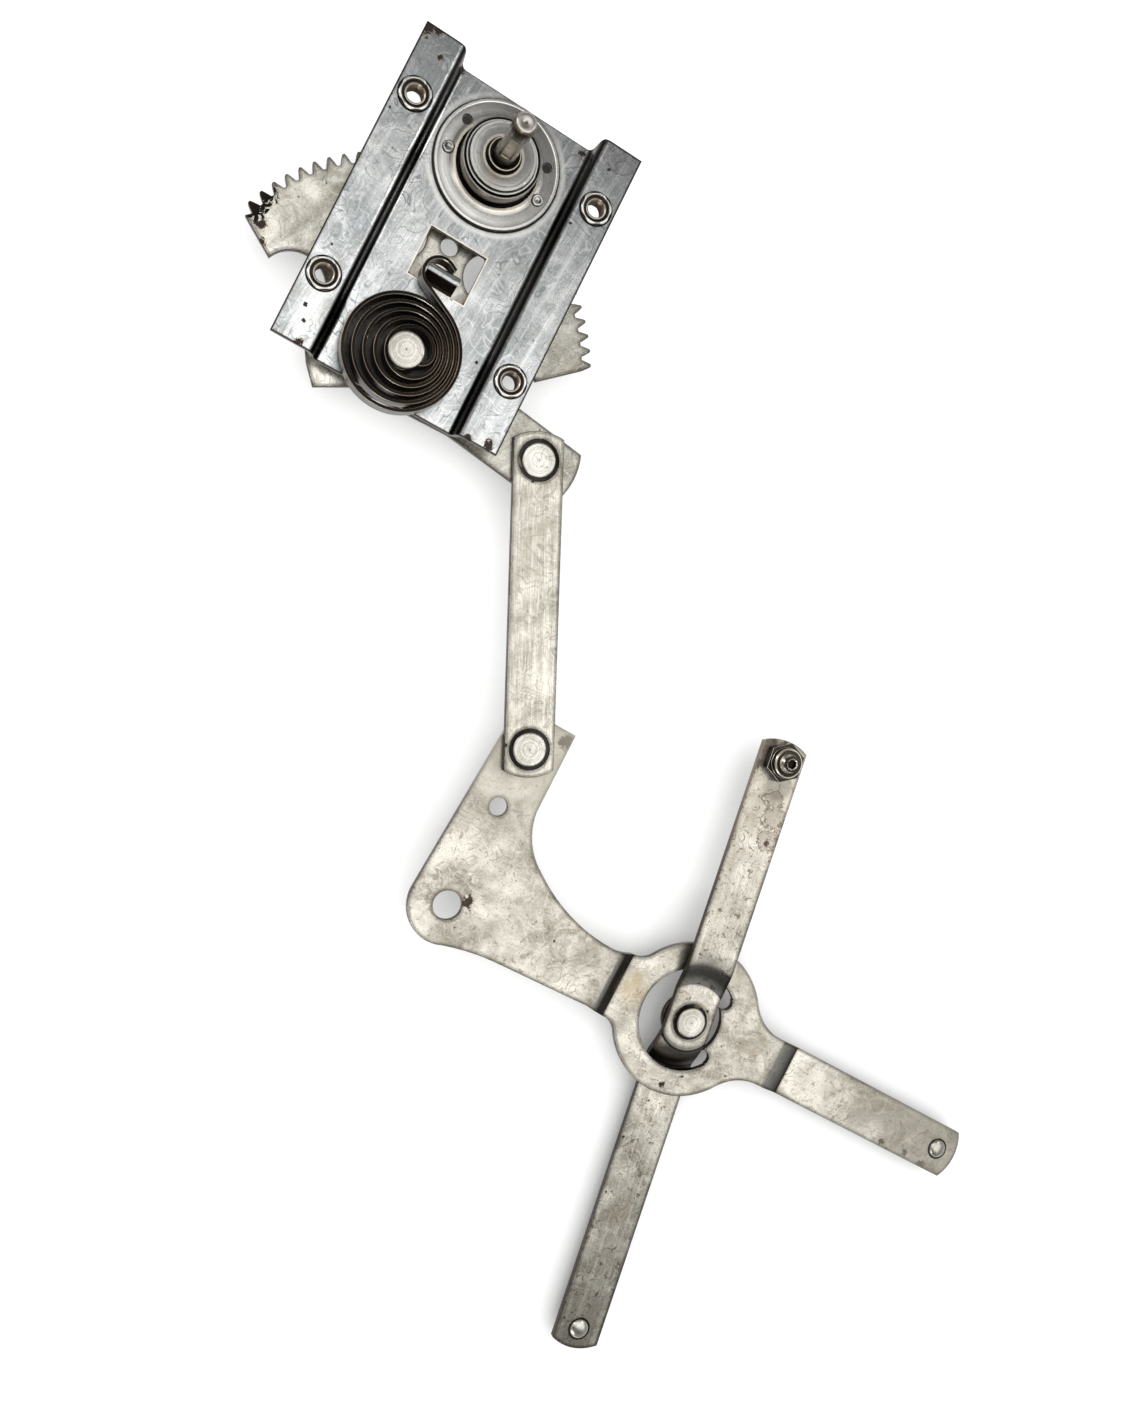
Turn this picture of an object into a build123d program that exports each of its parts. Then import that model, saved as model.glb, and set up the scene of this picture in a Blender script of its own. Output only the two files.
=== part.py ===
"""Window regulator: hand-crank gear box plate, sector gear, link and scissor arms.

Millimetres.  The frame's origin is the centre of the four weld nuts, in the plane of the two
mounting flanges.  +Y runs along the flanges to the crank end, +X across them, and +Z out of the
flanges along the crank spindle.  Sheet levels are stacked downwards from the flanges.
"""
from build123d import *
from math import acos, atan2, cos, degrees, pi, radians, sin, tan
import os

# ---------------------------------------------------------------- mounting plate (hat section)
nut_spacing_x = 84.6        # between the two rows of weld nuts
nut_spacing_y = 81.4        # between the nuts of one row
plate_width = 101.4         # over both flanges
web_width = 62.0            # foot to foot of the two walls
wall_lean = 1.6             # each wall leans outwards by this much on its way up
channel_depth = 8.5         # flange face down to web face
plate_t = 2.0
flange_roll_r, wall_foot_r = 4.0, 2.6       # bends on the upper face
flange_end_y = 68.8         # crank end of the flanges
web_end_y = 64.2            # the web stops short of the flanges at the crank end
plate_foot_y = -70.6        # link end of flanges and web

window_left, window_right = -13.4, 12.1
window_low, window_high = -20.4, 1.3
window_corner_r = 1.2
tab_left, tab_right = -7.6, 6.2     # spring anchor tab, bent up from the window's lower edge
tab_relief = 1.1            # slits beside the tab
tab_lean = 6.0              # how far the tab leans towards the crank
tab_height = 10.0           # above the web
tab_roll = 2.6              # length of the tab's rolled lip
tab_bend_r = 1.5            # on the sheet's middle line

nut_across = 13.0           # weld nut across its flats
nut_turn_deg = 30.0         # flats towards the walls
nut_body_h = 5.0            # below the flange
nut_neck_r = 5.4
nut_collar_h = 1.3          # collar swaged over the flange's upper face
nut_collar_round = 2.6      # rounding of the collar's hexagon
nut_collar_bevel = 0.55
nut_recess_r = 5.0
nut_recess_depth = 0.4
nut_thread_top = 0.1        # the thread ends this far above the flange face
nut_thread_r = 3.4          # minor radius of an M8 thread

# ---------------------------------------------------------------- gears
gear_line_x = -1.0          # crank and sector pivot stand on this line
crank_y = 37.1
gear_module = 1.97          # about 13 teeth to the inch of diameter
sector_full_teeth = 83      # teeth on the sector's full circle
sector_teeth = 32           # teeth cut
sector_first_deg = 162.4    # the left end tooth, about the sector's pivot
pinion_teeth = 7
pressure_deg = 25.0
pinion_shift = 0.2          # profile shift, taken from the sector
backlash = 0.30
tooth_tip_gap = 0.45
pinion_tip_trim = 0.36      # keeps the pinion's teeth from running to a point
pinion_w = 9.0

# ---------------------------------------------------------------- sector gear
sector_t = 3.0
sector_drop = 5.0           # web's lower face down to the sector
scallop_r = 13.4            # bite out of the left limb
scallop_at, scallop_deg = 50.8, 174.3       # its centre, about the pivot
scallop_from_deg, scallop_to_deg = 160.0, -48.0
left_limb_end = (-78.4, 19.6)       # below the first tooth, from the pivot
tail_side, tail_tip, tail_root = (-32.0, -20.4), (-25.6, -27.7), (-12.5, -20.3)
right_limb_r, right_limb_deg = 59.0, 20.5   # where its lower edge turns in
crotch_r, crotch_deg = 50.0, 7.0            # curve between right limb and arm passes here
hub_r = 19.5                # sheet left below the pivot
spoke_hole_r = 10.6         # lightening hole on each side of the spoke
spoke_half = 9.3            # spoke half-width between those holes
spoke_hole_up = 47.4        # their height above the pivot
index_hole_r = 3.8          # hole on the spoke
index_hole_up = 51.6
sector_arm_r = 71.3         # pivot to link pin
sector_arm_deg = -7.3
sector_arm_half = 13.9      # half-width of the arm
sector_arm_nose = 18.2      # link pin to the arm's nose
sector_nose_sag = 3.4       # depth of the nose's arc
arm_crotch_at, arm_heel_at = 53.0, 34.0     # straight edges start this far from the pivot
spoke_deg = 92.2

# ---------------------------------------------------------------- link and arms
link_length = 123.8         # pin to pin
link_deg = -65.1
link_w = 22.2
link_t = 2.8
link_gap = 0.6              # running gap under the link
bar_end_round = 22.0        # the bars' convex ends
link_end = 12.3             # pin centre to the end of the bar
arm_t = 2.8
ring_drop = 6.0             # bellcrank level down to the ring
low_drop = 4.4              # ring level down to the roller level
arm_b_lift = 0.3            # running gap between arm B's pivot dish and the ring
arm_b_rise = 3.3            # pivot dish up to the upper half of arm B

bell_arm_r = 75.6           # link pin to door pivot hole
bell_arm_deg = -91.3
door_hole_r = 6.4
door_corner_r = 17.6        # bellcrank's corner round the door pivot
bell_left, bell_right, bell_end = -143.4, -114.4, 89.3      # link end of the bellcrank, in arm A's axes
bell_end_r = 4.0            # corner under the link
shoulder_y = 52.0           # the inner edge stays straight down to here
shoulder_mid, elbow = (-108.6, 38.6), (-99.0, 29.6)         # tight curve of the inner edge
elbow_mid, waist_half = (-76.0, 18.0), 13.8                 # and the long one that follows
hem_mid, hem = (-113.0, -15.7), (-99.0, -14.4)              # hollow of the outer edge
small_hole_r = 4.1
small_hole_down = 28.1      # link pin down to the small hole
small_hole_deg = -90.5
scissor_r = 129.5           # door pivot hole to scissor pivot
scissor_deg = -1.86
arm_a_deg = -2.5            # rest angle of arm A's long axis
roller_a_r = 157.2          # scissor pivot to roller A
roller_a_deg = -0.84        # in arm A's own axes
arm_a_end = 11.0            # roller centre to the arm's end
arm_a_half = 12.0           # half-width of the roller end
ring_r = 36.0
neck_fillet_r, arm_fillet_r = 10.0, 24.0    # ring to neck, ring to roller arm
ring_hole_r = 23.9
tongue_r = 16.9             # the hole's nearer edge, on the roller side
tongue_high_deg, tongue_low_deg = 47.5, -39.0       # its two ends, in arm A's axes
tongue_notch_r = 3.4
tongue_notch_at = 20.0      # notch centres from the pivot
neck_half = 15.5            # half-width at the bend between bellcrank and ring
bend_a1_top, bend_a1_foot = -46.0, -39.0    # bellcrank-side bend, in arm A's axes
bend_a2_top, bend_a2_foot = 51.4, 61.0      # roller-side bend
fold_roll_r, fold_foot_r = 8.0, 2.8     # bends of the arms, on the upper face

arm_b_deg = -82.8           # direction of arm B's roller end
arm_b_w = 22.6
roller_b_r = 151.3          # scissor pivot to roller B
stud_r = 126.8              # scissor pivot to guide stud
arm_b_low_end = 9.2         # roller centre to the arm's end
arm_b_high_end = 10.0       # stud centre to the arm's end
dish_high_r, rise_end_r = 17.4, 28.0        # joggle up to the stud half
dish_low_r, dive_end_r = 13.6, 23.4         # joggle down through the ring

# ---------------------------------------------------------------- pins, bushes, rollers
run_gap = 0.05              # radial clearance of a shaft that turns
seat_gap = 0.1              # clearance of faces that slide past each other
pin_r = 6.0                 # journal of the link pins and of the scissor pin
pin_head_r = 7.5
bush_r = 9.0                # dark bush round each link pin
bush_sink = 0.5             # the bush stands this far below the bar's face
pin_head_proud = 0.8
pin_bevel = 0.5             # on the rims of the pins' heads
rivet_head_r, rivet_head_h = 6.8, 1.4       # clenched side of a pivot pin
scissor_head_r = 6.95
scissor_head_proud = 2.0
scissor_bush_r = 8.4
shoulder_r = 9.4
strap_t = 2.4               # strap under the ring that carries the scissor pin
strap_r = 11.6
strap_reach = 34.0
strap_tail_w = 11.0

roller_r, roller_w = 6.5, 6.5
stud_shank_r = 3.2
dome_r, dome_h = 4.4, 1.8
roller_cap_r, roller_cap_h = 4.6, 1.3
roller_gap = 0.3

guide_thread_r = 4.4
guide_tip_r = 4.0           # free end above the lock nut
guide_top = 11.6            # stud's end above arm B
lock_nut_across = 16.5
lock_nut_h = 5.0
lock_crown_r = 7.0
lock_crown_h = 3.2
guide_head_r, guide_head_h = 7.4, 2.2       # below the arm
guide_socket_r, guide_socket_depth = 2.2, 3.0

# ---------------------------------------------------------------- brake housing and crank
housing_r = 26.4
housing_t = 1.2
housing_lip_h, housing_lip_w = 1.8, 1.0
housing_flare_r, housing_flare_h = 20.2, 0.7        # the flange rises towards the drum's moat
moat_r, moat_depth = 17.2, 0.4       # groove round the drum's foot, into the flange's face
drum_r = 16.4
drum_h = 10.4
drum_wall = 1.0
housing_hole_r = 2.3
housing_hole_at = 21.2
housing_hole_degs = (153.0, 29.0)
housing_rivet_degs = (192.0, 350.0)
housing_rivet_r, housing_rivet_h = 2.6, 1.2
housing_rivet_shank_r = 1.8
coil_wire = 1.2             # square wire of the brake spring
coil_gap = 0.35             # between its turns
coil_turns = 4
coil_play = 0.1             # coil to the cup inside it
cup_r = 13.8
cup_top = 12.5              # above the web
cup_skin = 1.6
cup_hole_r = 7.6
floor_hole_r = 8.2          # in the housing's floor
spindle_r = 4.6
spindle_base_r = 5.2
spindle_base_h = 4.6        # thicker foot of the spindle above the cup
spindle_top = 49.3          # above the web
spindle_flat_low, spindle_flat_high = 22.0, 40.0
spindle_flat = 3.9          # axis to flat
spindle_tip_r = 4.2         # plain end above the flats, which the crank handle slides over
spindle_chamfer = 0.8
spindle_ring_r, spindle_ring_w = 6.7, 0.5       # sleeve round the spindle's foot
spindle_ring_h, spindle_ring_sunk = 2.6, 0.8    # above the cup, and below its face
bush_wall = 1.8
bush_flange = 1.0

# ---------------------------------------------------------------- counterbalance spring
spring_t = 1.5
spring_w = 8.5
spring_lift = 1.0           # above the web
spring_turns = 5.14
spring_outer_r = 25.33
spring_pitch = 3.28         # radius lost per turn
spring_start_deg = 62.3     # where the outer turn begins, on the side of the anchor tab
spring_off_x, spring_off_y = -2.35, -0.75       # outer turn's centre from the sector's pivot
spring_drift_x, spring_drift_y = 0.95, 0.53     # how far the centre walks per turn
spring_stations = 14        # points per turn on the spiral
hook_r = 6.55               # loop round the anchor tab, on the strip's middle line
hook_x, hook_y = -2.65, -17.15
hook_turn_deg = 62.0        # where the loop runs out into its straight end
hook_tail = 2.6
tang_deg = 160.0            # heading of the straight inner end, through the slotted pin
tang_past = 4.4             # tang's reach past the pin's centre
pin_stem_r = 4.9            # slotted stem inside the spring
pin_slot_gap = 0.15
sector_head_r = 7.5
sector_head_top = 12.6      # above the web
sector_head_h = 2.6

# ---------------------------------------------------------------- levels, from the flanges down
web_top = -channel_depth
web_low = web_top - plate_t
sector_top = web_low - sector_drop
sector_low = sector_top - sector_t
link_low = sector_top + link_gap
link_top = link_low + link_t
bell_top = sector_top      # the link lies over both
ring_top = bell_top - ring_drop
ring_low = ring_top - arm_t
low_top = ring_top - low_drop
low_low = low_top - arm_t
dish_low = ring_top + arm_b_lift
dish_top = dish_low + arm_t
high_top = dish_top + arm_b_rise
strap_low = ring_low - strap_t
sector_y = crank_y - gear_module * (sector_full_teeth + pinion_teeth) / 2


# ---------------------------------------------------------------- places
def polar(origin, radius, angle):
    """The point at this radius and angle from origin."""
    return (origin[0] + radius * cos(radians(angle)), origin[1] + radius * sin(radians(angle)))


crank_xy = (gear_line_x, crank_y)
sector_xy = (gear_line_x, sector_y)
pin_1_xy = polar(sector_xy, sector_arm_r, sector_arm_deg)
pin_2_xy = polar(pin_1_xy, link_length, link_deg)
door_xy = polar(pin_2_xy, bell_arm_r, bell_arm_deg)
scissor_xy = polar(door_xy, scissor_r, scissor_deg)
small_hole_xy = polar(pin_2_xy, small_hole_down, small_hole_deg)
roller_b_xy = polar(scissor_xy, roller_b_r, arm_b_deg)
stud_xy = polar(scissor_xy, stud_r, arm_b_deg + 180)
nut_xys = [(sx * nut_spacing_x / 2, sy * nut_spacing_y / 2) for sy in (1, -1) for sx in (-1, 1)]


def arm_a_place(z=0):
    """Arm A's own axes: origin on the scissor pivot, X along the arm."""
    return Location((scissor_xy[0], scissor_xy[1], z), (0, 0, arm_a_deg))


def arm_b_place(z=0):
    """Arm B's own axes: origin on the scissor pivot, X towards the roller end."""
    return Location((scissor_xy[0], scissor_xy[1], z), (0, 0, arm_b_deg))


roller_a_xy = polar(scissor_xy, roller_a_r, arm_a_deg + roller_a_deg)


# ---------------------------------------------------------------- small builders
def at(xy, z=0):
    return Pos(xy[0], xy[1], z)


def rod(xy, radius, low, high):
    """A plain cylinder between two levels."""
    return at(xy, low) * extrude(Circle(radius), high - low)


def turned(xy, points):
    """A turned piece: the outline is (radius, level) points round the axis at xy."""
    outline = make_face(Plane.XZ * Polyline(*points, close=True))
    return at(xy) * revolve(outline, Axis.Z)


def slab(face, low, high):
    return Pos(0, 0, low) * extrude(face, high - low)


def sheet(points, bend_r, thickness):
    """Closed section of a bent sheet in the XZ plane, below the line of its upper face."""
    line = FilletPolyline(*points, radius=bend_r)
    return Plane.XZ * make_face(offset(line, amount=thickness, side=Side.RIGHT))


def bar_outline(tail, nose, half, tail_end, nose_end):
    """A flat bar along X with convex ends; tail and nose are hole places, the ends reach past."""
    sag = bar_end_round - (bar_end_round ** 2 - half ** 2) ** 0.5
    left, right = tail - tail_end, nose + nose_end
    return make_face([
        Line((left + sag, half), (right - sag, half)),
        ThreePointArc((right - sag, half), (right, 0), (right - sag, -half)),
        Line((right - sag, -half), (left + sag, -half)),
        ThreePointArc((left + sag, -half), (left, 0), (left + sag, half)),
    ])


# ---------------------------------------------------------------- mounting plate
def anchor_tab():
    """Strip bent up out of the window, its end rolled back over itself."""
    mid = plate_t / 2
    rise = web_top + tab_height - mid
    lean_y = window_low + tab_lean
    route = FilletPolyline(
        (window_low - mid, web_top - mid), (window_low + tab_bend_r, web_top - mid),
        (lean_y, rise), (lean_y - tab_roll, rise), radius=tab_bend_r)
    outline = make_face(offset(route, amount=mid, side=Side.BOTH))
    strip = Plane.YZ * extrude(outline, tab_right - tab_left)
    return Pos(tab_left, 0, 0) * strip


def wall_end_cut():
    """Waste at the crank end: the web stops short and the walls slant up to the flanges' ends."""
    wedge = make_face(Plane.YZ * Polyline(
        (flange_end_y, -plate_t / 2), (web_end_y, web_top), (web_end_y, web_low - 1),
        (flange_end_y + 1, web_low - 1), (flange_end_y + 1, -plate_t / 2), close=True))
    return extrude(wedge, web_width / 2 + wall_lean + 1.2 * plate_t, both=True)


def mounting_plate():
    half, foot, top = plate_width / 2, web_width / 2, web_width / 2 + wall_lean
    section = sheet(
        [(-half, 0), (-top, 0), (-foot, web_top), (foot, web_top), (top, 0), (half, 0)],
        (flange_roll_r, wall_foot_r, wall_foot_r, flange_roll_r), plate_t)
    plate = Pos(0, flange_end_y, 0) * extrude(section, flange_end_y - plate_foot_y)
    plate -= wall_end_cut()
    window = Rectangle(window_right - window_left, window_high - window_low, align=Align.MIN)
    window = fillet(window.vertices(), window_corner_r)
    plate -= slab(Pos(window_left, window_low) * window, web_low, web_top)
    for x in (tab_left - tab_relief, tab_right):
        slit = Rectangle(tab_relief, 2 * tab_relief, align=(Align.MIN, Align.CENTER))
        plate -= slab(Pos(x, window_low) * slit, web_low, web_top)
    plate += anchor_tab()
    for xy in nut_xys:
        plate -= rod(xy, nut_neck_r + run_gap, -plate_t, 0)
    plate -= rod(crank_xy, spindle_r + bush_wall + run_gap, web_low, web_top)
    plate -= rod(sector_xy, pin_r + bush_wall + run_gap, web_low, web_top)
    for angle in housing_rivet_degs:
        place = polar(crank_xy, housing_hole_at, angle)
        plate -= rod(place, housing_rivet_shank_r + run_gap, web_low, web_top)
    return plate


def weld_nut(xy):
    """Body below the flange, neck through it, collar swaged round and hollowed on top."""
    body = slab(RegularPolygon(nut_across / 2, 6, False, nut_turn_deg), -plate_t - nut_body_h, -plate_t)
    collar = RegularPolygon(nut_across / 2, 6, False, nut_turn_deg)
    collar = slab(fillet(collar.vertices(), nut_collar_round), 0, nut_collar_h)
    collar = chamfer(collar.faces().sort_by(Axis.Z)[-1].edges(), nut_collar_bevel)
    nut = body + collar + rod((0, 0), nut_neck_r, -plate_t, 0)
    bore = turned((0, 0), [
        (0, -plate_t - nut_body_h), (nut_thread_r, -plate_t - nut_body_h),
        (nut_thread_r, nut_thread_top),
        (nut_recess_r, nut_collar_h - nut_recess_depth), (nut_recess_r, nut_collar_h), (0, nut_collar_h)])
    return at(xy) * (nut - bore)


# ---------------------------------------------------------------- brake housing
def brake_housing():
    """Pressed flange with a rim, flared up to a moat, and the drum that stands in the moat."""
    foot, top = web_top, web_top + drum_h
    inner = drum_r - drum_wall
    housing = turned(crank_xy, [
        (floor_hole_r, foot), (housing_r, foot), (housing_r, foot + housing_lip_h),
        (housing_r - housing_lip_w, foot + housing_lip_h), (housing_r - housing_lip_w, foot + housing_t),
        (housing_flare_r, foot + housing_t),
        (moat_r + 2 * housing_flare_h, foot + housing_t + housing_flare_h),
        (moat_r + housing_flare_h / 2, foot + housing_t + housing_flare_h),
        (moat_r, foot + housing_t + housing_flare_h / 2), (moat_r, foot + housing_t - moat_depth),
        (drum_r, foot + housing_t - moat_depth), (drum_r, top),
        (inner, top), (inner, foot + housing_t), (floor_hole_r, foot + housing_t)])
    for angle in housing_hole_degs:
        housing -= rod(polar(crank_xy, housing_hole_at, angle), housing_hole_r, foot, foot + 2 * housing_t)
    for angle in housing_rivet_degs:
        place = polar(crank_xy, housing_hole_at, angle)
        housing -= rod(place, housing_rivet_shank_r + run_gap, foot, foot + 2 * housing_t)
        housing -= rod(place, housing_rivet_r + run_gap, foot + housing_t, foot + 2 * housing_t)
    return housing


def housing_rivet(angle):
    """Round-headed rivet from the housing's flange through the web."""
    place = polar(crank_xy, housing_hole_at, angle)
    face = web_top + housing_t
    bevel = housing_rivet_h / 2
    tail_r = housing_rivet_r
    return turned(place, [
        (0, web_low - housing_rivet_h), (tail_r, web_low - housing_rivet_h), (tail_r, web_low),
        (housing_rivet_shank_r, web_low), (housing_rivet_shank_r, face), (housing_rivet_r, face),
        (housing_rivet_r, face + bevel), (housing_rivet_r - bevel, face + housing_rivet_h),
        (0, face + housing_rivet_h)])


def flanged_bush(xy, bore_r, flange_top):
    """Plain bush pressed in the web, with a flange that spaces the gear under the web."""
    outer = bore_r + bush_wall
    return turned(xy, [
        (bore_r, web_low - flange_top), (outer + bush_wall, web_low - flange_top),
        (outer + bush_wall, web_low), (outer, web_low), (outer, web_top), (bore_r, web_top)])


# ---------------------------------------------------------------- crank
def driver_cup():
    """Upturned cup on the spindle; the brake spring is wound round its skirt."""
    foot = web_top + housing_t + seat_gap
    top = web_top + cup_top
    inner = cup_r - cup_skin
    return turned(crank_xy, [
        (inner, foot), (cup_r, foot), (cup_r, top), (cup_hole_r, top),
        (cup_hole_r, top - cup_skin), (inner, top - cup_skin)])


def brake_spring():
    """Close-wound coil of square wire between the driver cup and the drum."""
    pitch = coil_wire + coil_gap
    mean_r = cup_r + coil_play + coil_wire / 2
    start = web_top + cup_top - cup_skin / 2 - coil_turns * pitch - coil_wire / 2
    path = Pos(0, 0, start) * Helix(pitch, coil_turns * pitch, mean_r)
    section = Plane(origin=path @ 0, z_dir=path % 0) * Rectangle(coil_wire, coil_wire)
    return at(crank_xy) * sweep(section, path, is_frenet=True)


def spindle():
    """Crank spindle: gear journal, foot inside the cup, drive flats, chamfered end."""
    cup_level = web_top + cup_top
    collar_r = cup_hole_r
    low = web_low - bush_flange - seat_gap - pinion_w
    top = web_top + spindle_top
    core = turned(crank_xy, [
        (0, low), (spindle_r, low), (spindle_r, web_top + seat_gap),
        (collar_r, web_top + seat_gap), (collar_r, cup_level - spindle_ring_sunk),
        (spindle_ring_r, cup_level - spindle_ring_sunk), (spindle_ring_r, cup_level + spindle_ring_h),
        (spindle_ring_r - spindle_ring_w, cup_level + spindle_ring_h),
        (spindle_ring_r - spindle_ring_w, cup_level + spindle_ring_h / 2),
        (spindle_base_r, cup_level + spindle_ring_h / 2),
        (spindle_base_r, cup_level + spindle_ring_h), (spindle_r, cup_level + spindle_base_h),
        (spindle_r, web_top + spindle_flat_high), (spindle_tip_r, web_top + spindle_flat_high),
        (spindle_tip_r, top - spindle_chamfer), (spindle_tip_r - spindle_chamfer, top), (0, top)])
    flats = Rectangle(2 * spindle_flat, 2 * spindle_flat)
    waste = slab(Circle(spindle_r + 1) - flats, web_top + spindle_flat_low, web_top + spindle_flat_high)
    return core - at(crank_xy) * waste


# ---------------------------------------------------------------- gear teeth
def involute(angle):
    return tan(angle) - angle


def gear_outline(teeth_degs, teeth, shift, tip_r, root_r):
    """Points and arcs of a run of teeth, in the order of teeth_degs (turning clockwise)."""
    pitch_r = gear_module * teeth / 2
    base_r = pitch_r * cos(radians(pressure_deg))
    width = gear_module * (pi / 2 + 2 * shift * tan(radians(pressure_deg))) - backlash / 2
    half_pitch = width / (2 * pitch_r) + involute(radians(pressure_deg))

    def half_deg(radius):
        return (half_pitch - involute(acos(min(1.0, base_r / radius)))) * 180 / pi

    low_r = max(root_r, base_r)
    mid_r = (low_r + tip_r) / 2
    edges, last = [], None
    for centre in teeth_degs:
        up = [polar((0, 0), r, centre + half_deg(r)) for r in (low_r, mid_r, tip_r)]
        down = [polar((0, 0), r, centre - half_deg(r)) for r in (tip_r, mid_r, low_r)]
        start = polar((0, 0), root_r, centre + half_deg(low_r))
        end = polar((0, 0), root_r, centre - half_deg(low_r))
        if last:
            edges.append(Line(last, start))
        if low_r > root_r:
            edges.append(Line(start, up[0]))
        edges.append(ThreePointArc(*up))
        edges.append(Line(up[-1], down[0]))
        edges.append(ThreePointArc(*down))
        if low_r > root_r:
            edges.append(Line(down[-1], end))
        last = end
    return edges


sector_pitch_deg = 360 / sector_full_teeth
sector_tip_r = gear_module * (sector_full_teeth / 2 + 1 - pinion_shift)
pinion_tip_r = gear_module * (pinion_teeth / 2 + 1 + pinion_shift) - pinion_tip_trim
centre_distance = crank_y - sector_y
sector_root_r = centre_distance - pinion_tip_r - tooth_tip_gap
pinion_root_r = centre_distance - sector_tip_r - tooth_tip_gap


def pinion():
    """Pinion on the spindle, its gap facing the sector tooth nearest the line of centres."""
    steps = round((sector_first_deg - 90) / sector_pitch_deg)
    offset_deg = sector_first_deg - steps * sector_pitch_deg - 90
    gap_deg = 270 - offset_deg * sector_full_teeth / pinion_teeth
    pitch_deg = 360 / pinion_teeth
    degs = [gap_deg - (k + 0.5) * pitch_deg for k in range(pinion_teeth)]
    edges = gear_outline(degs, pinion_teeth, pinion_shift, pinion_tip_r, pinion_root_r)
    edges.append(Line(edges[-1] @ 1, edges[0] @ 0))
    face = make_face(edges) - Circle(spindle_r)
    top = web_low - bush_flange - seat_gap
    return at(crank_xy) * slab(face, top - pinion_w, top)


# ---------------------------------------------------------------- sector gear
def sector_outline():
    """Sector plate about its pivot: tooth arc, right limb, arm, tail and scalloped left limb."""
    last_deg = sector_first_deg - (sector_teeth - 1) * sector_pitch_deg
    degs = [sector_first_deg - k * sector_pitch_deg for k in range(sector_teeth)]
    teeth = gear_outline(degs, sector_full_teeth, -pinion_shift, sector_tip_r, sector_root_r)
    arm = Rot(0, 0, sector_arm_deg)

    def on_arm(x, y):
        return tuple((arm * Pos(x, y)).position)[:2]

    half, end = sector_arm_half, sector_arm_r + sector_arm_nose
    limb_in, crotch = polar((0, 0), right_limb_r, right_limb_deg), on_arm(arm_crotch_at, half)
    upper, lower = on_arm(end - sector_nose_sag, half), on_arm(end - sector_nose_sag, -half)
    heel = on_arm(arm_heel_at, -half)
    bite = polar((0, 0), scallop_at, scallop_deg)
    bite_mid_deg = (scallop_from_deg + scallop_to_deg) / 2
    bite_start, bite_mid, bite_end = [
        polar(bite, scallop_r, angle) for angle in (scallop_from_deg, bite_mid_deg, scallop_to_deg)]
    first, last = teeth[0] @ 0, teeth[-1] @ 1
    return make_face(teeth + [
        Line(last, limb_in), ThreePointArc(limb_in, polar((0, 0), crotch_r, crotch_deg), crotch),
        Line(crotch, upper), ThreePointArc(upper, on_arm(end, 0), lower), Line(lower, heel),
        ThreePointArc(heel, polar((0, 0), hub_r, sector_arm_deg - 73), tail_root),
        Line(tail_root, tail_tip), Line(tail_tip, tail_side), Line(tail_side, bite_end),
        ThreePointArc(bite_end, bite_mid, bite_start),
        Line(bite_start, left_limb_end), Line(left_limb_end, first),
    ])


def sector_gear():
    face = sector_outline()
    for side in (1, -1):
        centre = (Rot(0, 0, spoke_deg) * Pos(spoke_hole_up, side * (spoke_half + spoke_hole_r))).position
        face -= Pos(centre) * Circle(spoke_hole_r)
    face -= Pos(*polar((0, 0), index_hole_up, spoke_deg)) * Circle(index_hole_r)
    face -= Circle(pin_r)
    face -= Pos(*polar((0, 0), sector_arm_r, sector_arm_deg)) * Circle(pin_r)
    return at(sector_xy) * slab(face, sector_low, sector_top)


def sector_pin():
    """Pivot pin fixed in the sector: clenched end, journal, slotted stem and round head."""
    head_top = web_top + sector_head_top
    head_low = head_top - sector_head_h
    pin = turned(sector_xy, [
        (0, sector_low - rivet_head_h), (rivet_head_r, sector_low - rivet_head_h),
        (rivet_head_r, sector_low), (pin_r, sector_low), (pin_r, web_top + seat_gap),
        (pin_stem_r, web_top + seat_gap), (pin_stem_r, head_low), (sector_head_r, head_low),
        (sector_head_r, head_top - pin_bevel), (sector_head_r - pin_bevel, head_top), (0, head_top)])
    slot = Rot(0, 0, tang_deg) * Rectangle(3 * pin_stem_r, spring_t + 2 * pin_slot_gap)
    return pin - at(sector_xy) * slab(slot, web_top + seat_gap, head_low)


# ---------------------------------------------------------------- counterbalance spring
def spiral_point(turn):
    """Middle of the strip; the angle falls as the turns close in on the pin."""
    centre = (sector_xy[0] + spring_off_x + spring_drift_x * turn,
              sector_xy[1] + spring_off_y + spring_drift_y * turn)
    return polar(centre, spring_outer_r - spring_pitch * turn, spring_start_deg - 360 * turn)


def inner_bend(start, heading):
    """Arc that turns the strip from its heading onto the tang's line through the pin, and the tang."""
    across = Vector(sin(radians(tang_deg)), -cos(radians(tang_deg)))
    side = Vector(heading.Y, -heading.X)
    pin = Vector(*sector_xy)
    bend_r = across.dot(start - pin) / (1 - across.dot(side))
    centre = start + side * bend_r
    half = (side + across).normalized()
    end = centre - across * bend_r
    arc = ThreePointArc(start, centre - half * bend_r, end)
    return arc, Line(end, Vector(*polar(sector_xy, tang_past, tang_deg)))


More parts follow.
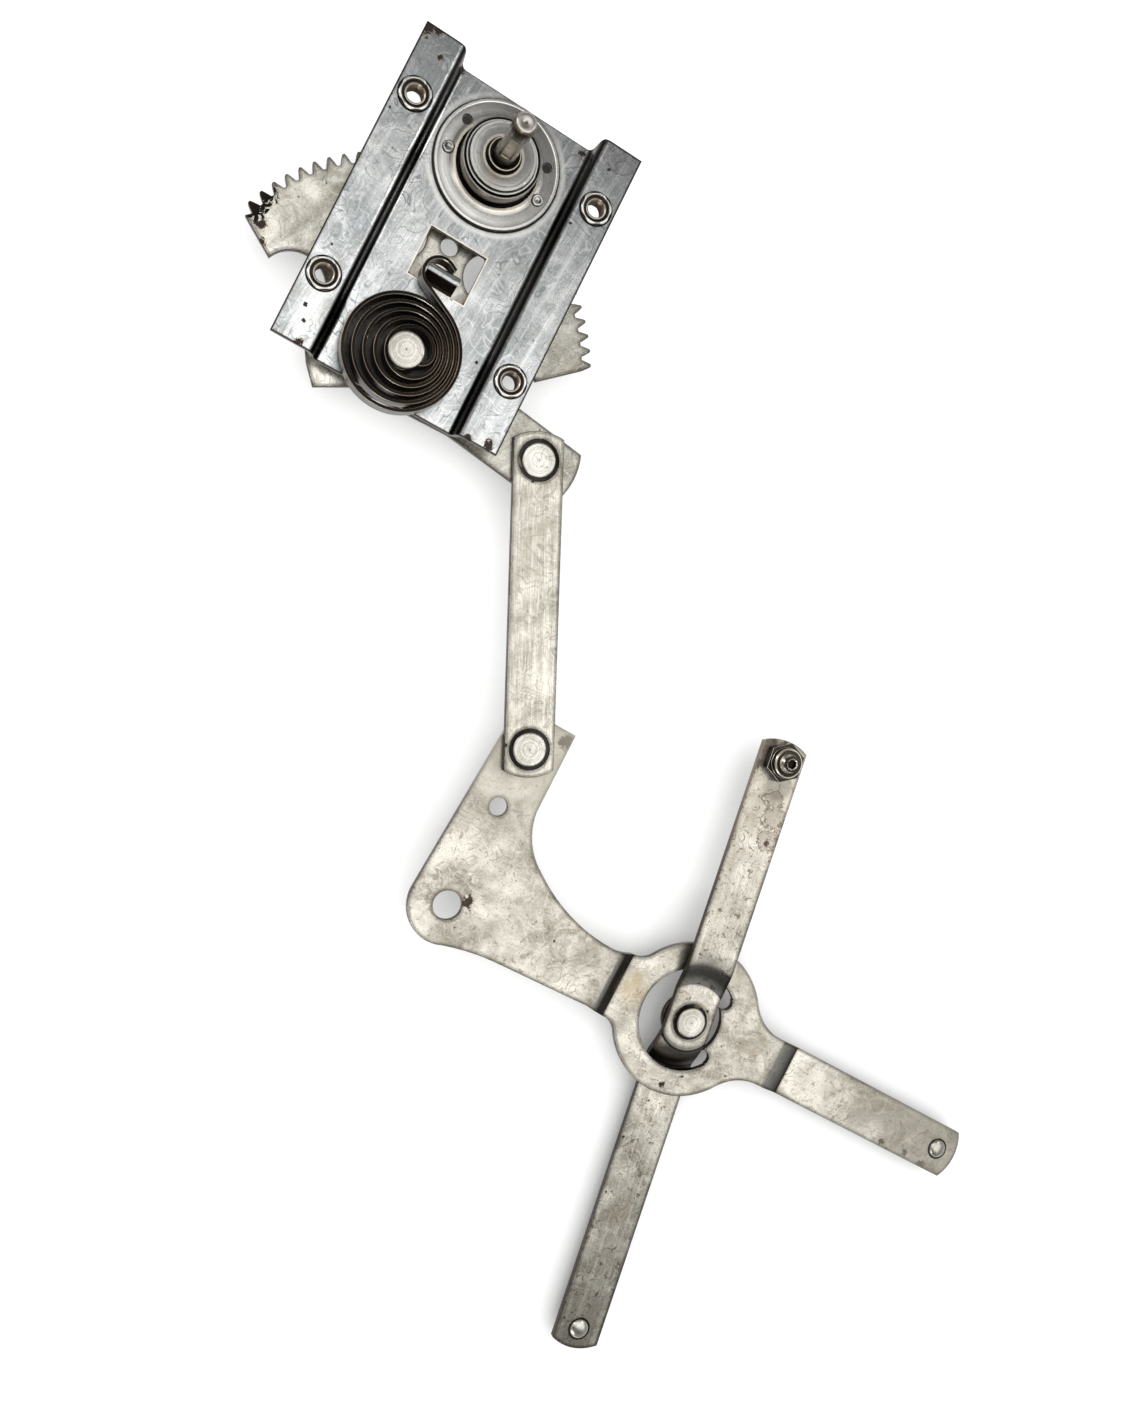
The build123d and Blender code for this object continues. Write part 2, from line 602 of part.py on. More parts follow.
def counterbalance_spring():
    """Flat strip: loop over the anchor tab, five turns, then a tang through the slotted pin."""
    stations = round(spring_turns * spring_stations)
    spiral = Spline(*[spiral_point(spring_turns * k / stations) for k in range(stations + 1)])
    hook = (hook_x, hook_y)
    away = (spiral @ 0) - Vector(*hook)
    touch = degrees(atan2(away.Y, away.X) - acos(hook_r / away.length)) % 360
    run = Line(polar(hook, hook_r, touch), spiral @ 0)
    middle = polar(hook, hook_r, (touch + hook_turn_deg) / 2)
    loop = ThreePointArc(polar(hook, hook_r, hook_turn_deg), middle, polar(hook, hook_r, touch))
    tail = Line(polar(tuple(loop @ 0), hook_tail, hook_turn_deg - 90), loop @ 0)
    bend, tang = inner_bend(spiral @ 1, spiral % 1)
    path = Wire([tail, loop, run, spiral, bend, tang])
    middle_z = web_top + spring_lift + spring_w / 2
    section = Plane(origin=path @ 0, z_dir=path % 0, x_dir=(0, 0, 1)) * Rectangle(spring_w, spring_t)
    return Pos(0, 0, middle_z) * sweep(section, path)


# ---------------------------------------------------------------- link
def link_bar():
    bar = bar_outline(0, link_length, link_w / 2, link_end, link_end)
    for x in (0, link_length):
        bar -= Pos(x, 0) * Circle(bush_r)
    return at(pin_1_xy, link_low) * Rot(0, 0, link_deg) * extrude(bar, link_t)


def link_bush(xy):
    """Dark bush pressed in the link, a little lower than the link's face."""
    ring = Circle(bush_r) - Circle(pin_r + run_gap)
    return at(xy) * slab(ring, sector_top + seat_gap, link_top - bush_sink)


def pivot_pin(xy, plate_low, head_low, head_r, head_top):
    """Pin clenched in the plate above plate_low, its flat head with a bevelled rim on top."""
    return turned(xy, [
        (0, plate_low - rivet_head_h), (rivet_head_r, plate_low - rivet_head_h),
        (rivet_head_r, plate_low), (pin_r, plate_low), (pin_r, head_low),
        (head_r, head_low), (head_r, head_top - pin_bevel), (head_r - pin_bevel, head_top), (0, head_top)])


def link_pin(xy, plate_low):
    return pivot_pin(xy, plate_low, link_top - bush_sink + seat_gap, pin_head_r, link_top + pin_head_proud)


# ---------------------------------------------------------------- arm A
def bellcrank_outline():
    """Bellcrank end of arm A in the arm's own axes, from the link pin to the first bend."""
    door = (arm_a_place().inverse() * Pos(*door_xy)).position
    door = (door.X, door.Y)
    side, under, foot = [polar(door, door_corner_r, angle) for angle in (180, 235, 292)]
    shoulder, corner = (bell_right + 0.7, shoulder_y), (bell_right, bell_end)
    waist_x = bend_a1_top - 4
    outline = make_face([
        Line((bend_a1_foot, neck_half), (waist_x, waist_half)),
        ThreePointArc((waist_x, waist_half), elbow_mid, elbow),
        ThreePointArc(elbow, shoulder_mid, shoulder), Line(shoulder, corner),
        Line(corner, (bell_left, bell_end)), Line((bell_left, bell_end), side),
        ThreePointArc(side, under, foot), ThreePointArc(foot, hem_mid, hem),
        Line(hem, (waist_x, -waist_half)), Line((waist_x, -waist_half), (bend_a1_foot, -neck_half)),
        Line((bend_a1_foot, -neck_half), (bend_a1_foot, neck_half)),
    ])
    return fillet(outline.vertices().sort_by_distance((bell_left, bell_end))[0], bell_end_r)


def arm_a_outline():
    """Bellcrank, neck, ring and roller arm; the re-entrant corners are rounded."""
    neck = Pos(bend_a1_foot, 0) * Rectangle(ring_r / 2, 2 * neck_half, align=(Align.MIN, Align.CENTER))
    arm = Rot(0, 0, roller_a_deg) * bar_outline(0, roller_a_r, arm_a_half, 0, arm_a_end)
    outline = bellcrank_outline() + neck + Circle(ring_r) + arm
    for side in (1, -1):
        for x, y, radius in ((-1, neck_half, neck_fillet_r), (1, arm_a_half, arm_fillet_r)):
            place = (x * (ring_r ** 2 - y ** 2) ** 0.5, side * y)
            outline = fillet(outline.vertices().sort_by_distance(place)[0], radius)
    return outline


def ring_hole():
    """Round hole with a tongue left on the roller side and a notch at each end of the tongue."""
    reach = 2 * ring_hole_r
    ends = (tongue_low_deg, tongue_high_deg)
    low, high = [polar((0, 0), reach, angle) for angle in ends]
    wedge = make_face(Polyline((0, 0), low, (reach, 0), high, close=True))
    hole = Circle(ring_hole_r) - wedge + Circle(tongue_r)
    for angle in ends:
        hole += Pos(*polar((0, 0), tongue_notch_at, angle)) * Circle(tongue_notch_r)
    return hole


def arm_a():
    """Bent sheet: bellcrank level, ring level and roller level, trimmed to the plan outline."""
    section = sheet([
        (-2 * scissor_r, bell_top), (bend_a1_top, bell_top), (bend_a1_foot, ring_top),
        (bend_a2_top, ring_top), (bend_a2_foot, low_top), (2 * scissor_r, low_top)],
        (fold_roll_r, fold_foot_r, fold_roll_r, fold_foot_r), arm_t)
    blank = Pos(0, scissor_r, 0) * extrude(section, 2 * scissor_r)
    arm = arm_a_place() * (blank & slab(arm_a_outline() - ring_hole(), low_low, bell_top))
    for xy, radius in ((door_xy, door_hole_r), (small_hole_xy, small_hole_r),
                       (pin_2_xy, pin_r), (roller_a_xy, stud_shank_r)):
        arm -= rod(xy, radius, low_low, bell_top)
    return arm


def pivot_strap():
    """Strap welded under the ring, below arm B's stud half; its round end carries the scissor pin."""
    tail = Rectangle(strap_reach, strap_tail_w, align=(Align.MAX, Align.CENTER))
    tail = fillet(tail.vertices().sort_by(Axis.X)[:2], strap_tail_w / 3)
    strap = tail + Circle(strap_r) - Circle(pin_r)
    return arm_b_place(strap_low) * extrude(strap, strap_t)


def scissor_pin():
    """Shouldered pin: clenched under the strap, journal through arm B, head on top."""
    shoulder = rod(scissor_xy, shoulder_r, ring_low, dish_low - seat_gap)
    return shoulder + pivot_pin(
        scissor_xy, strap_low, dish_top + seat_gap, scissor_head_r, dish_top + scissor_head_proud)


# ---------------------------------------------------------------- arm B
def half_dish(flat_r, slope_end_r, level):
    """Half turn of bent sheet: flat round the pivot, then a conical step to another level."""
    reach = roller_b_r + arm_b_w
    bends = (fold_roll_r, fold_foot_r) if level < dish_top else (fold_foot_r, fold_roll_r)
    section = sheet(
        [(0, dish_top), (flat_r, dish_top), (slope_end_r, level), (reach, level)], bends, arm_t)
    return Rot(0, 0, -90) * revolve(section, Axis.Z, 180)


def arm_b():
    """Straight arm with a circular joggle on each side of the scissor pivot."""
    bar = bar_outline(-stud_r, roller_b_r, arm_b_w / 2, arm_b_high_end, arm_b_low_end)
    for x, radius in ((0, scissor_bush_r), (roller_b_r, stud_shank_r), (-stud_r, guide_thread_r)):
        bar -= Pos(x, 0) * Circle(radius)
    low_half = half_dish(dish_low_r, dive_end_r, low_top)
    high_half = Rot(0, 0, 180) * half_dish(dish_high_r, rise_end_r, high_top)
    return arm_b_place() * ((low_half + high_half) & slab(bar, low_low, high_top))


def scissor_bush():
    ring = Circle(scissor_bush_r) - Circle(pin_r + run_gap)
    return at(scissor_xy) * slab(ring, dish_low, dish_top)


# ---------------------------------------------------------------- rollers and guide stud
def roller_stud(xy):
    """Domed rivet through the arm; the roller turns on its shank, held by a bevelled cap."""
    ball_r = (dome_r ** 2 + dome_h ** 2) / (2 * dome_h)
    dome = at(xy, low_top + dome_h - ball_r) * Sphere(ball_r)
    dome &= rod(xy, dome_r, low_top, low_top + dome_h)
    cap_top = low_low - roller_gap - roller_w - seat_gap
    cap_low = cap_top - roller_cap_h
    bevel = roller_cap_h / 2
    return dome + turned(xy, [
        (0, cap_low), (roller_cap_r - bevel, cap_low), (roller_cap_r, cap_low + bevel),
        (roller_cap_r, cap_top), (stud_shank_r, cap_top), (stud_shank_r, low_top), (0, low_top)])


def roller(xy):
    """Moulded roller with a shallow dish in its outer end."""
    top = low_low - roller_gap
    low = top - roller_w
    rim = roller_r - 1.0
    return turned(xy, [
        (stud_shank_r + run_gap, low), (roller_cap_r, low), (rim, low), (roller_r, low + 1.0),
        (roller_r, top - 1.0), (rim, top), (stud_shank_r + run_gap, top)])


def guide_stud():
    """Threaded stud clenched in arm B's upper end, with a socket in its tip."""
    under = high_top - arm_t
    top = high_top + guide_top
    nut_top = high_top + lock_nut_h + lock_crown_h
    stud = turned(stud_xy, [
        (0, under - guide_head_h), (guide_head_r, under - guide_head_h), (guide_head_r, under),
        (guide_thread_r, under), (guide_thread_r, nut_top), (guide_tip_r, nut_top),
        (guide_tip_r, top - guide_head_h / 4), (guide_tip_r - guide_head_h / 4, top), (0, top)])
    return stud - rod(stud_xy, guide_socket_r, top - guide_socket_depth, top)


def lock_nut():
    """Hexagon with a round crown."""
    hexagon = RegularPolygon(lock_nut_across / 2, 6, major_radius=False)
    nut = slab(hexagon, high_top, high_top + lock_nut_h)
    crown = rod((0, 0), lock_crown_r, high_top, high_top + lock_nut_h + lock_crown_h)
    crown = chamfer(crown.faces().sort_by(Axis.Z)[-1].edges(), lock_crown_h / 4)
    bore = rod((0, 0), guide_thread_r, high_top, high_top + lock_nut_h + lock_crown_h)
    return at(stud_xy) * Rot(0, 0, arm_b_deg) * (nut + crown - bore)


# ---------------------------------------------------------------- build
def build_parts():
    parts = {
        "mounting_plate": mounting_plate(),
        "brake_housing": brake_housing(),
        "spindle_bush": flanged_bush(crank_xy, spindle_r + run_gap, bush_flange),
        "sector_bush": flanged_bush(sector_xy, pin_r + run_gap, sector_drop - seat_gap),
        "counterbalance_spring": counterbalance_spring(),
        "crank_shaft": spindle(),
        "driver_cup": driver_cup(),
        "brake_spring": brake_spring(),
        "pinion": pinion(),
        "sector_gear": sector_gear(),
        "sector_pin": sector_pin(),
        "link_pin_upper": link_pin(pin_1_xy, sector_low),
        "link_bar": link_bar(),
        "link_bush_upper": link_bush(pin_1_xy),
        "link_bush_lower": link_bush(pin_2_xy),
        "arm_a": arm_a(),
        "link_pin_lower": link_pin(pin_2_xy, bell_top - arm_t),
        "pivot_strap": pivot_strap(),
        "scissor_pin": scissor_pin(),
        "roller_stud_a": roller_stud(roller_a_xy),
        "roller_a": roller(roller_a_xy),
        "arm_b": arm_b(),
        "scissor_bush": scissor_bush(),
        "roller_stud_b": roller_stud(roller_b_xy),
        "roller_b": roller(roller_b_xy),
        "guide_stud": guide_stud(),
        "lock_nut": lock_nut(),
    }
    for number, xy in enumerate(nut_xys, 1):
        parts[f"weld_nut_{number}"] = weld_nut(xy)
    for number, angle in enumerate(housing_rivet_degs, 1):
        parts[f"housing_rivet_{number}"] = housing_rivet(angle)
    return parts


if __name__ == "__main__":
    os.makedirs("parts", exist_ok=True)
    for node, solid in build_parts().items():
        export_step(solid, f"parts/{node}.step")
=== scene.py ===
# %% [markdown]
# # A window regulator, finished in Blender
# A window regulator is the crank-driven linkage that lifts the glass of a car door. A small
# pinion turns a toothed sector, the sector pulls a link, and the link swings a pair of crossed
# arms whose rollers run in channels under the glass. The solids come from a packed assembly
# that already holds the real sizes and the joints, so this file only adds what a lathe, a press
# and thirty years in a door add: finishes, small details, light and a camera.

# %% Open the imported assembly
from math import acos, atan2, cos, degrees, exp, pi, radians, sin
from types import SimpleNamespace

import bmesh
import bpy
from mathutils import Matrix, Vector


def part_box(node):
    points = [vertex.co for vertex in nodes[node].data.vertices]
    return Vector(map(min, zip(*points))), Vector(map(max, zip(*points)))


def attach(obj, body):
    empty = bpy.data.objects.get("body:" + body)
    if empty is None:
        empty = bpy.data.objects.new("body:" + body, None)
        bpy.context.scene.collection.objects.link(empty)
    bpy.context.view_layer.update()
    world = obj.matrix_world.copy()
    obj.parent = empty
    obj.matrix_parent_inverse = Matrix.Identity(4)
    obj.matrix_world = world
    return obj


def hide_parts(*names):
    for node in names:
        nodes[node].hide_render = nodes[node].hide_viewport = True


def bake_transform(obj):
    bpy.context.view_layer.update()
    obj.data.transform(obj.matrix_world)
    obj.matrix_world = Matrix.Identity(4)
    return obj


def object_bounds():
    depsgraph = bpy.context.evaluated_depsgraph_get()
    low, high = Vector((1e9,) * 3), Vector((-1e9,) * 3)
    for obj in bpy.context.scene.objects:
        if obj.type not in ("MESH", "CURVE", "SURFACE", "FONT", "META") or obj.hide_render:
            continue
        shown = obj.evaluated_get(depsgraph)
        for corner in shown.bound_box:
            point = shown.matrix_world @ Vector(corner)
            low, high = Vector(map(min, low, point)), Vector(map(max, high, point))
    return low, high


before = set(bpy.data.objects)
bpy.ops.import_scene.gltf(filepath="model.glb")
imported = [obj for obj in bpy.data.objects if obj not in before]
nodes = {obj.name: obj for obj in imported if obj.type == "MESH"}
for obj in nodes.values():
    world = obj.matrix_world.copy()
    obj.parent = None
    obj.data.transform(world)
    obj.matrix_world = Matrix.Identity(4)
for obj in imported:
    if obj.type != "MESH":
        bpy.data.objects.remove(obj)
solid_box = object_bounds()
mm = 0.001
print(len(nodes), "solids, box in mm:",
      [round((high - low) / mm, 1) for low, high in zip(*solid_box)])

# %% [markdown]
# ## The camera
# The regulator lies on its back and is seen from above, a little from the crank side. A camera can
# be turned with three angles, but those are hard to read. It is clearer to say where it stands,
# what it looks at and which way is up in the render, and to build its axes from the three.

# %% Stand the camera over the part
camera_place = Vector((-29.3, -183.6, 520.2)) * mm
camera_aim = Vector((127.4, -147.5, -20.0)) * mm
render_up_deg = 116.9           # heading on the floor that points up in the render
render_long_px = 1402
focal_px = 1280.5
sensor_long = 36.0


def heading(angle_deg):
    """Step of length 1 on the floor plan, turned angle_deg from +X towards +Y."""
    return Vector((cos(radians(angle_deg)), sin(radians(angle_deg))))


def aimed(place, aim, up):
    """Matrix of a lamp or camera at place that looks at aim, with up towards its own +Y."""
    back = (place - aim).normalized()
    right = up.cross(back).normalized()
    axes = Matrix((right, back.cross(right), back)).transposed()
    return Matrix.Translation(place) @ axes.to_4x4()


camera_data = bpy.data.cameras.new("camera")
camera_data.sensor_width = sensor_long
camera_data.lens = sensor_long * focal_px / render_long_px
camera = bpy.data.objects.new("camera", camera_data)
camera.matrix_world = aimed(camera_place, camera_aim, heading(render_up_deg).to_3d())
bpy.context.scene.collection.objects.link(camera)
bpy.context.scene.camera = camera
print("camera", round(camera_place.z / mm), "mm up, lens", round(camera_data.lens, 2), "mm")

# %% [markdown]
# ## A bench for finishes
# Every finish below is a small graph of shader nodes. Wiring them by hand takes many lines, so
# a few helpers keep the recipes short: one adds a node and plugs its inputs, one mixes two colours
# by a mask, one stretches a value between two limits, and two do sums. They all take a coat: a
# finish in the making, with its material, its node tree, its shader and the place of each point.
# The place is turned into millimetres once, so that every size below can be read as a real one.

# %% Helpers for shader graphs


def put(coat, kind, settings=None, **plugs):
    """Add a shader node; each plug names an input and holds a value or another node's output."""
    node = coat.tree.nodes.new("ShaderNode" + kind)
    for key, value in (settings or {}).items():
        setattr(node, key, value)
    for name, value in plugs.items():
        numbered = name[0] == "n" and name[1:].isdigit()
        socket = node.inputs[int(name[1:]) if numbered else name]
        if isinstance(value, bpy.types.NodeSocket):
            coat.tree.links.new(value, socket)
        else:
            socket.default_value = (*value, 1.0) if socket.type == "RGBA" else value
    return node.outputs


def mixed(coat, mask, under, over):
    """Colour under, turned towards colour over where mask is 1."""
    return put(coat, "Mix", {"data_type": "RGBA"}, n0=mask, n6=under, n7=over)[2]


def spread(coat, value, low, high, out_low=0.0, out_high=1.0):
    """Value between low and high, stretched to the outer limits and clamped."""
    return put(coat, "MapRange", Value=value, n1=low, n2=high, n3=out_low, n4=out_high)[0]


def sums(coat, how, a, b=0.0):
    """One sum on one or two values."""
    return put(coat, "Math", {"operation": how}, n0=a, n1=b)[0]


def times(coat, first, *factors):
    """Product of masks and shares."""
    for factor in factors:
        first = sums(coat, "MULTIPLY", first, factor)
    return first


def vectors(coat, how, a, b):
    """Outputs of a sum on two points or directions."""
    return put(coat, "VectorMath", {"operation": how}, n0=a, n1=b)


def plug(coat, value, socket):
    """Lead a node's output into the coat's shader."""
    coat.tree.links.new(value, coat.shader.inputs[socket])


def blank_finish(name):
    """A coat with a new material, and the place of each point on the piece in mm."""
    material = bpy.data.materials.new(name)
    material.use_nodes = True
    coat = SimpleNamespace(material=material, tree=material.node_tree)
    coat.shader = coat.tree.nodes["Principled BSDF"]
    coat.place = vectors(coat, "MULTIPLY", put(coat, "TexCoord")["Object"], (1 / mm, 1 / mm, 1 / mm))[0]
    return coat


def height_of(coat):
    """Height of each point above the flanges, in mm."""
    return put(coat, "SeparateXYZ", Vector=coat.place)[2]


def clouds(coat, size_mm, detail=4.0, curl=0.0, roughness=0.55):
    """Noise between 0 and 1 with blotches of about size_mm."""
    return put(coat, "TexNoise", Vector=coat.place, Scale=1 / size_mm, Detail=detail,
               Distortion=curl, Roughness=roughness)[0]


print("bench ready")

# %% [markdown]
# ## The floor
# The part rests on its two rollers and its lowest pins, so the floor lies just under the lowest
# solid. One large square in mesh code is enough. White paper lit from above would do, but its
# shadows would spread far over it. Giving the paper light of its own, and dimming that light only
# where metal hides the sky close by, keeps the shadows tight against the edges.

# %% Lay the floor
floor_half = 4.0
floor_drop = 0.1 * mm
floor_glow = 0.86
shade_reach = 30.0 * mm
paper_dark, paper_light = (0.33, 0.33, 0.33), (0.36, 0.36, 0.36)
floor_level = solid_box[0].z - floor_drop
floor_mesh = bpy.data.meshes.new("floor")
floor_mesh.from_pydata(
    [(x * floor_half, y * floor_half, floor_level) for x, y in ((-1, -1), (1, -1), (1, 1), (-1, 1))],
    [], [(0, 1, 2, 3)])
floor = bpy.data.objects.new("floor", floor_mesh)
bpy.context.scene.collection.objects.link(floor)
paper = blank_finish("white_paper")
plug(paper, mixed(paper, clouds(paper, 400.0), paper_dark, paper_light), "Base Color")
paper.shader.inputs["Roughness"].default_value = 0.9
paper.shader.inputs["Specular IOR Level"].default_value = 0.0
open_sky = put(paper, "AmbientOcclusion", {"samples": 8}, Distance=shade_reach)["AO"]
plug(paper, spread(paper, open_sky, 0.22, 0.84, 0.05, 1.0), "Emission Color")
paper.shader.inputs["Emission Strength"].default_value = floor_glow
floor.data.materials.append(paper.material)
print("floor at", round(floor_level / mm, 2), "mm")

# %% [markdown]
# ## Light
# Bare metal shows what it reflects more than its own colour. A wide softbox overhead is what the
# flat faces mirror towards the camera: they are bright where they mirror its middle and darker
# where they mirror past its ends. It is turned a little, so that the plate's crank end falls off.
# The ceiling is dim, so that steep bends fall off to black, while the walls of the room are paler:
# they are what the flat faces mirror when the part is seen from low down. Small lamps at the sides
# draw bright lines on rims and domed heads.

# %% Hang the softboxes
bpy.context.scene.view_settings.view_transform = "Standard"
part_middle = Vector((130.0, -150.0, -20.0)) * mm


def softbox(name, place, size, power, aim=part_middle, long_side_deg=0.0):
    """Rectangular area lamp; place, aim and size in metres."""
    lamp = bpy.data.lights.new(name, "AREA")
    lamp.shape = "RECTANGLE"
    lamp.size, lamp.size_y = size
    lamp.energy = power
    holder = bpy.data.objects.new(name, lamp)
    short_side = heading(long_side_deg + 90.0).to_3d()
    holder.matrix_world = aimed(Vector(place), Vector(aim), short_side)
    bpy.context.scene.collection.objects.link(holder)


softbox("overhead_softbox", (0.28, -0.12, 0.90), (1.90, 0.86), 7.1, (0.28, -0.12, 0.0), -12.0)
softbox("window_light", (0.80, 0.55, 1.00), (0.40, 0.30), 2.0)
softbox("left_fill", (-1.2, 0.10, 0.60), (0.40, 0.30), 3.0)
softbox("front_fill", (0.05, -1.35, 0.60), (0.50, 0.25), 3.0)

horizon_light, ceiling_light = 0.60, 0.05
world = bpy.data.worlds.new("room")
world.use_nodes = True
room = SimpleNamespace(tree=world.node_tree, shader=world.node_tree.nodes["Background"])
upward = put(room, "SeparateXYZ", Vector=put(room, "TexCoord")["Generated"])[2]
plug(room, spread(room, upward, 0.05, 0.80, horizon_light, ceiling_light), "Strength")
room.shader.inputs["Color"].default_value = (1.0, 1.0, 1.0, 1.0)
bpy.context.scene.world = world
print("softboxes hung")

# %% [markdown]
# ## Things that happen to metal
# The same few things happen to every piece: broad cloudy toning from the plating bath, curled
# tide marks where oil and water dried, wiped swirls, drawn streaks from the rolling mill,
# scattered pits, rust where the plating broke, dried drips of oil, and a dark line where the press
# sheared the edge and left it bare. Each is one function that returns a mask between 0 and 1, so
# that every finish can mix its own share. Two more ask the renderer about the shape and place
# painted shade: the bevel node tells how near an edge is, for a dark outline painted a little way
# inside it, and ambient occlusion tells how closely other metal stands, for painted shade and dirt
# in crevices. Distances that the masks compare are in mm.

# %% Masks of wear


def tide_marks(coat, size_mm, lines, width=0.12):
    """Thin closed loops, like the contour lines of a hilly map."""
    hills = clouds(coat, size_mm, 2.0, 0.7, 0.45)
    turn = sums(coat, "PINGPONG", times(coat, hills, lines), 0.5)
    return spread(coat, turn, width, 0.0)


def streaks(coat, width_mm, length_mm, heading_deg):
    """Noise drawn out into lines that run at heading_deg."""
    turned = put(coat, "VectorRotate", {"rotation_type": "Z_AXIS"}, Vector=coat.place,
                 Angle=-radians(heading_deg))[0]
    drawn = put(coat, "Mapping", Vector=turned, Scale=(width_mm / length_mm, 1.0, 1.0))[0]
    return put(coat, "TexNoise", Vector=drawn, Scale=1 / width_mm, Detail=3.0)[0]


def pits(coat, spacing_mm, share):
    """Scattered dots of mixed size: a share of the cells of a loose grid holds one."""
    largest, grid_noise, pull = 0.22, 0.9, 0.25 * spacing_mm
    stray = put(coat, "TexNoise", Vector=coat.place, Scale=grid_noise)[1]
    loose = vectors(coat, "ADD", coat.place, vectors(coat, "MULTIPLY", stray, (pull, pull, pull))[0])[0]
    cells = put(coat, "TexVoronoi", Vector=loose, Scale=1 / spacing_mm)
    luck = put(coat, "SeparateColor", Color=cells[1])[0]
    reach = spread(coat, luck, 1 - share, 1.0, 0.0, largest)
    return spread(coat, sums(coat, "SUBTRACT", reach, cells[0]), 0.0, 0.04)


def around(coat, centre, inner_mm, outer_mm):
    """1 within inner_mm of a point of the part, fading out to outer_mm."""
    return spread(coat, vectors(coat, "DISTANCE", coat.place, centre)[1], outer_mm, inner_mm)


def ragged_spots(coat, spots):
    """Value that passes 1 in torn patches; each spot is x, y, level and reach in mm."""
    total = 0.0
    for *centre, reach in spots:
        total = sums(coat, "MAXIMUM", around(coat, centre, 0.0, reach), total)
    torn = times(coat, spread(coat, clouds(coat, 3.2, 6.0, 1.2, 0.75), 0.34, 0.66), 0.9)
    return sums(coat, "ADD", times(coat, total, 1.15), torn)


def dried_drips(coat, drips):
    """Ragged pools of dried oil, darkest at their outline; each drip is x, y, level and reach in mm."""
    pool = sums(coat, "SUBTRACT", ragged_spots(coat, drips), 0.80)
    outline = spread(coat, sums(coat, "ABSOLUTE", pool), 0.14, 0.04)
    return sums(coat, "MAXIMUM", outline, spread(coat, pool, 0.0, 0.1, 0.0, 0.35))


def levelness(coat):
    """1 on level faces, falling to 0 on upright ones."""
    normal = put(coat, "NewGeometry")["Normal"]
    return sums(coat, "ABSOLUTE", put(coat, "SeparateXYZ", Vector=normal)[2])


def sheared_edge(coat, low=0.97, high=0.78):
    """1 on upright faces and on the rounding above them, where the press cut the sheet."""
    return spread(coat, levelness(coat), low, high)


def burr(coat, flat=0.995, steep=0.90):
    """1 on the first turn of a rounded edge, which rubs bright."""
    upright = levelness(coat)
    return times(coat, spread(coat, upright, flat, flat - 0.03), spread(coat, upright, steep - 0.06, steep))


def edge_outline_shade(coat, reach_mm):
    """1 at a sharp edge, fading out reach_mm inside it: a dark outline of painted shade."""
    rounded = put(coat, "Bevel", {"samples": 4}, Radius=reach_mm * mm)["Normal"]
    plain = put(coat, "NewGeometry")["Normal"]
    return spread(coat, vectors(coat, "DOT_PRODUCT", rounded, plain)[1], 0.998, 0.97)


def crevice_shade_and_dirt(coat):
    """1 where other metal stands close by: painted shade there, and dirt that a rag can't reach."""
    openness = put(coat, "AmbientOcclusion", {"samples": 8}, Distance=5.0 * mm)["AO"]
    return spread(coat, openness, 0.62, 0.15)


def along(coat, start, end):
    """0 at the first point of the floor plan, rising to 1 at the second."""
    way = Vector(end) - Vector(start)
    step = way / way.length_squared
    first = Vector(start).dot(step)
    return spread(coat, vectors(coat, "DOT_PRODUCT", coat.place, step.to_3d())[1], first, first + 1.0)


def out_of_box(coat, low, high):
    """How many mm each point lies outside an upright box; negative inside it."""
    split = put(coat, "SeparateXYZ", Vector=coat.place)
    gaps = []
    for axis in (0, 1):
        off = sums(coat, "ABSOLUTE", sums(coat, "SUBTRACT", split[axis], (low[axis] + high[axis]) / 2))
        gaps.append(sums(coat, "SUBTRACT", off, (high[axis] - low[axis]) / 2))
    return sums(coat, "MAXIMUM", *gaps)


def middle_mm(node):
    """Middle of a solid's box on the floor plan."""
    low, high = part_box(node)
    return [(low[axis] + high[axis]) / 2 / mm for axis in (0, 1)]


def far_from(coat, centre):
    """Distance from an upright axis."""
    flat = vectors(coat, "MULTIPLY", coat.place, (1.0, 1.0, 0.0))[0]
    return vectors(coat, "DISTANCE", flat, (*centre, 0.0))[1]


def ring_at(coat, far, radius, half, soft=0.15):
    """1 on a ring of that radius and half width, in mm."""
    off = sums(coat, "ABSOLUTE", sums(coat, "SUBTRACT", far, radius))
    return spread(coat, off, half + soft, half - soft)


print("wear masks ready")

# %% [markdown]
# ## One recipe for worn, plated steel
# A plated sheet is metal all over, except where rust covers it. The recipe starts from two tones
# of the same plating and lays the marks over them. Rust then takes the metal away: there the
# shader's Metallic falls to 0.1 and its Roughness rises. A cut edge, with the dark outline painted
# inside it, loses a little metal too, while grease and the painted shade and dirt of crevices only
# darken it. Given two points, a finish also darkens from the first to the second in painted shade.
# A very shallow bump breaks up the reflections, which is what makes a flat face look like real sheet.

# %% The recipe
# bare brown colours cut edges and the painted-shade outline; grease black is real grease and painted shade;
# rubbed white is rubbed metal and painted highlight
bare_and_shade_brown = (0.030, 0.020, 0.014)
rust_black = (0.022, 0.013, 0.008)
rust_orange = (0.30, 0.17, 0.08)
grease_and_shade_black = (0.012, 0.009, 0.007)
rubbed_and_highlight_white = (0.97, 0.96, 0.91)
dry_stain = (0.40, 0.33, 0.22)


def dimmed(colour, share):
    """The colour at a share of its brightness."""
    return [share * v for v in colour]


def over(coat, mask, colour, share=1.0, metal=None):
    """Lay a share of one more colour over a finish, and set how metallic it is there."""
    mask = mask if share == 1.0 else times(coat, mask, share)
    old = coat.shader.inputs["Base Color"].links[0].from_socket
    plug(coat, mixed(coat, mask, old, colour), "Base Color")
    if metal is not None:
        was = coat.shader.inputs["Metallic"].links[0].from_socket
        plug(coat, put(coat, "Mix", n0=mask, n2=was, n3=metal)[0], "Metallic")


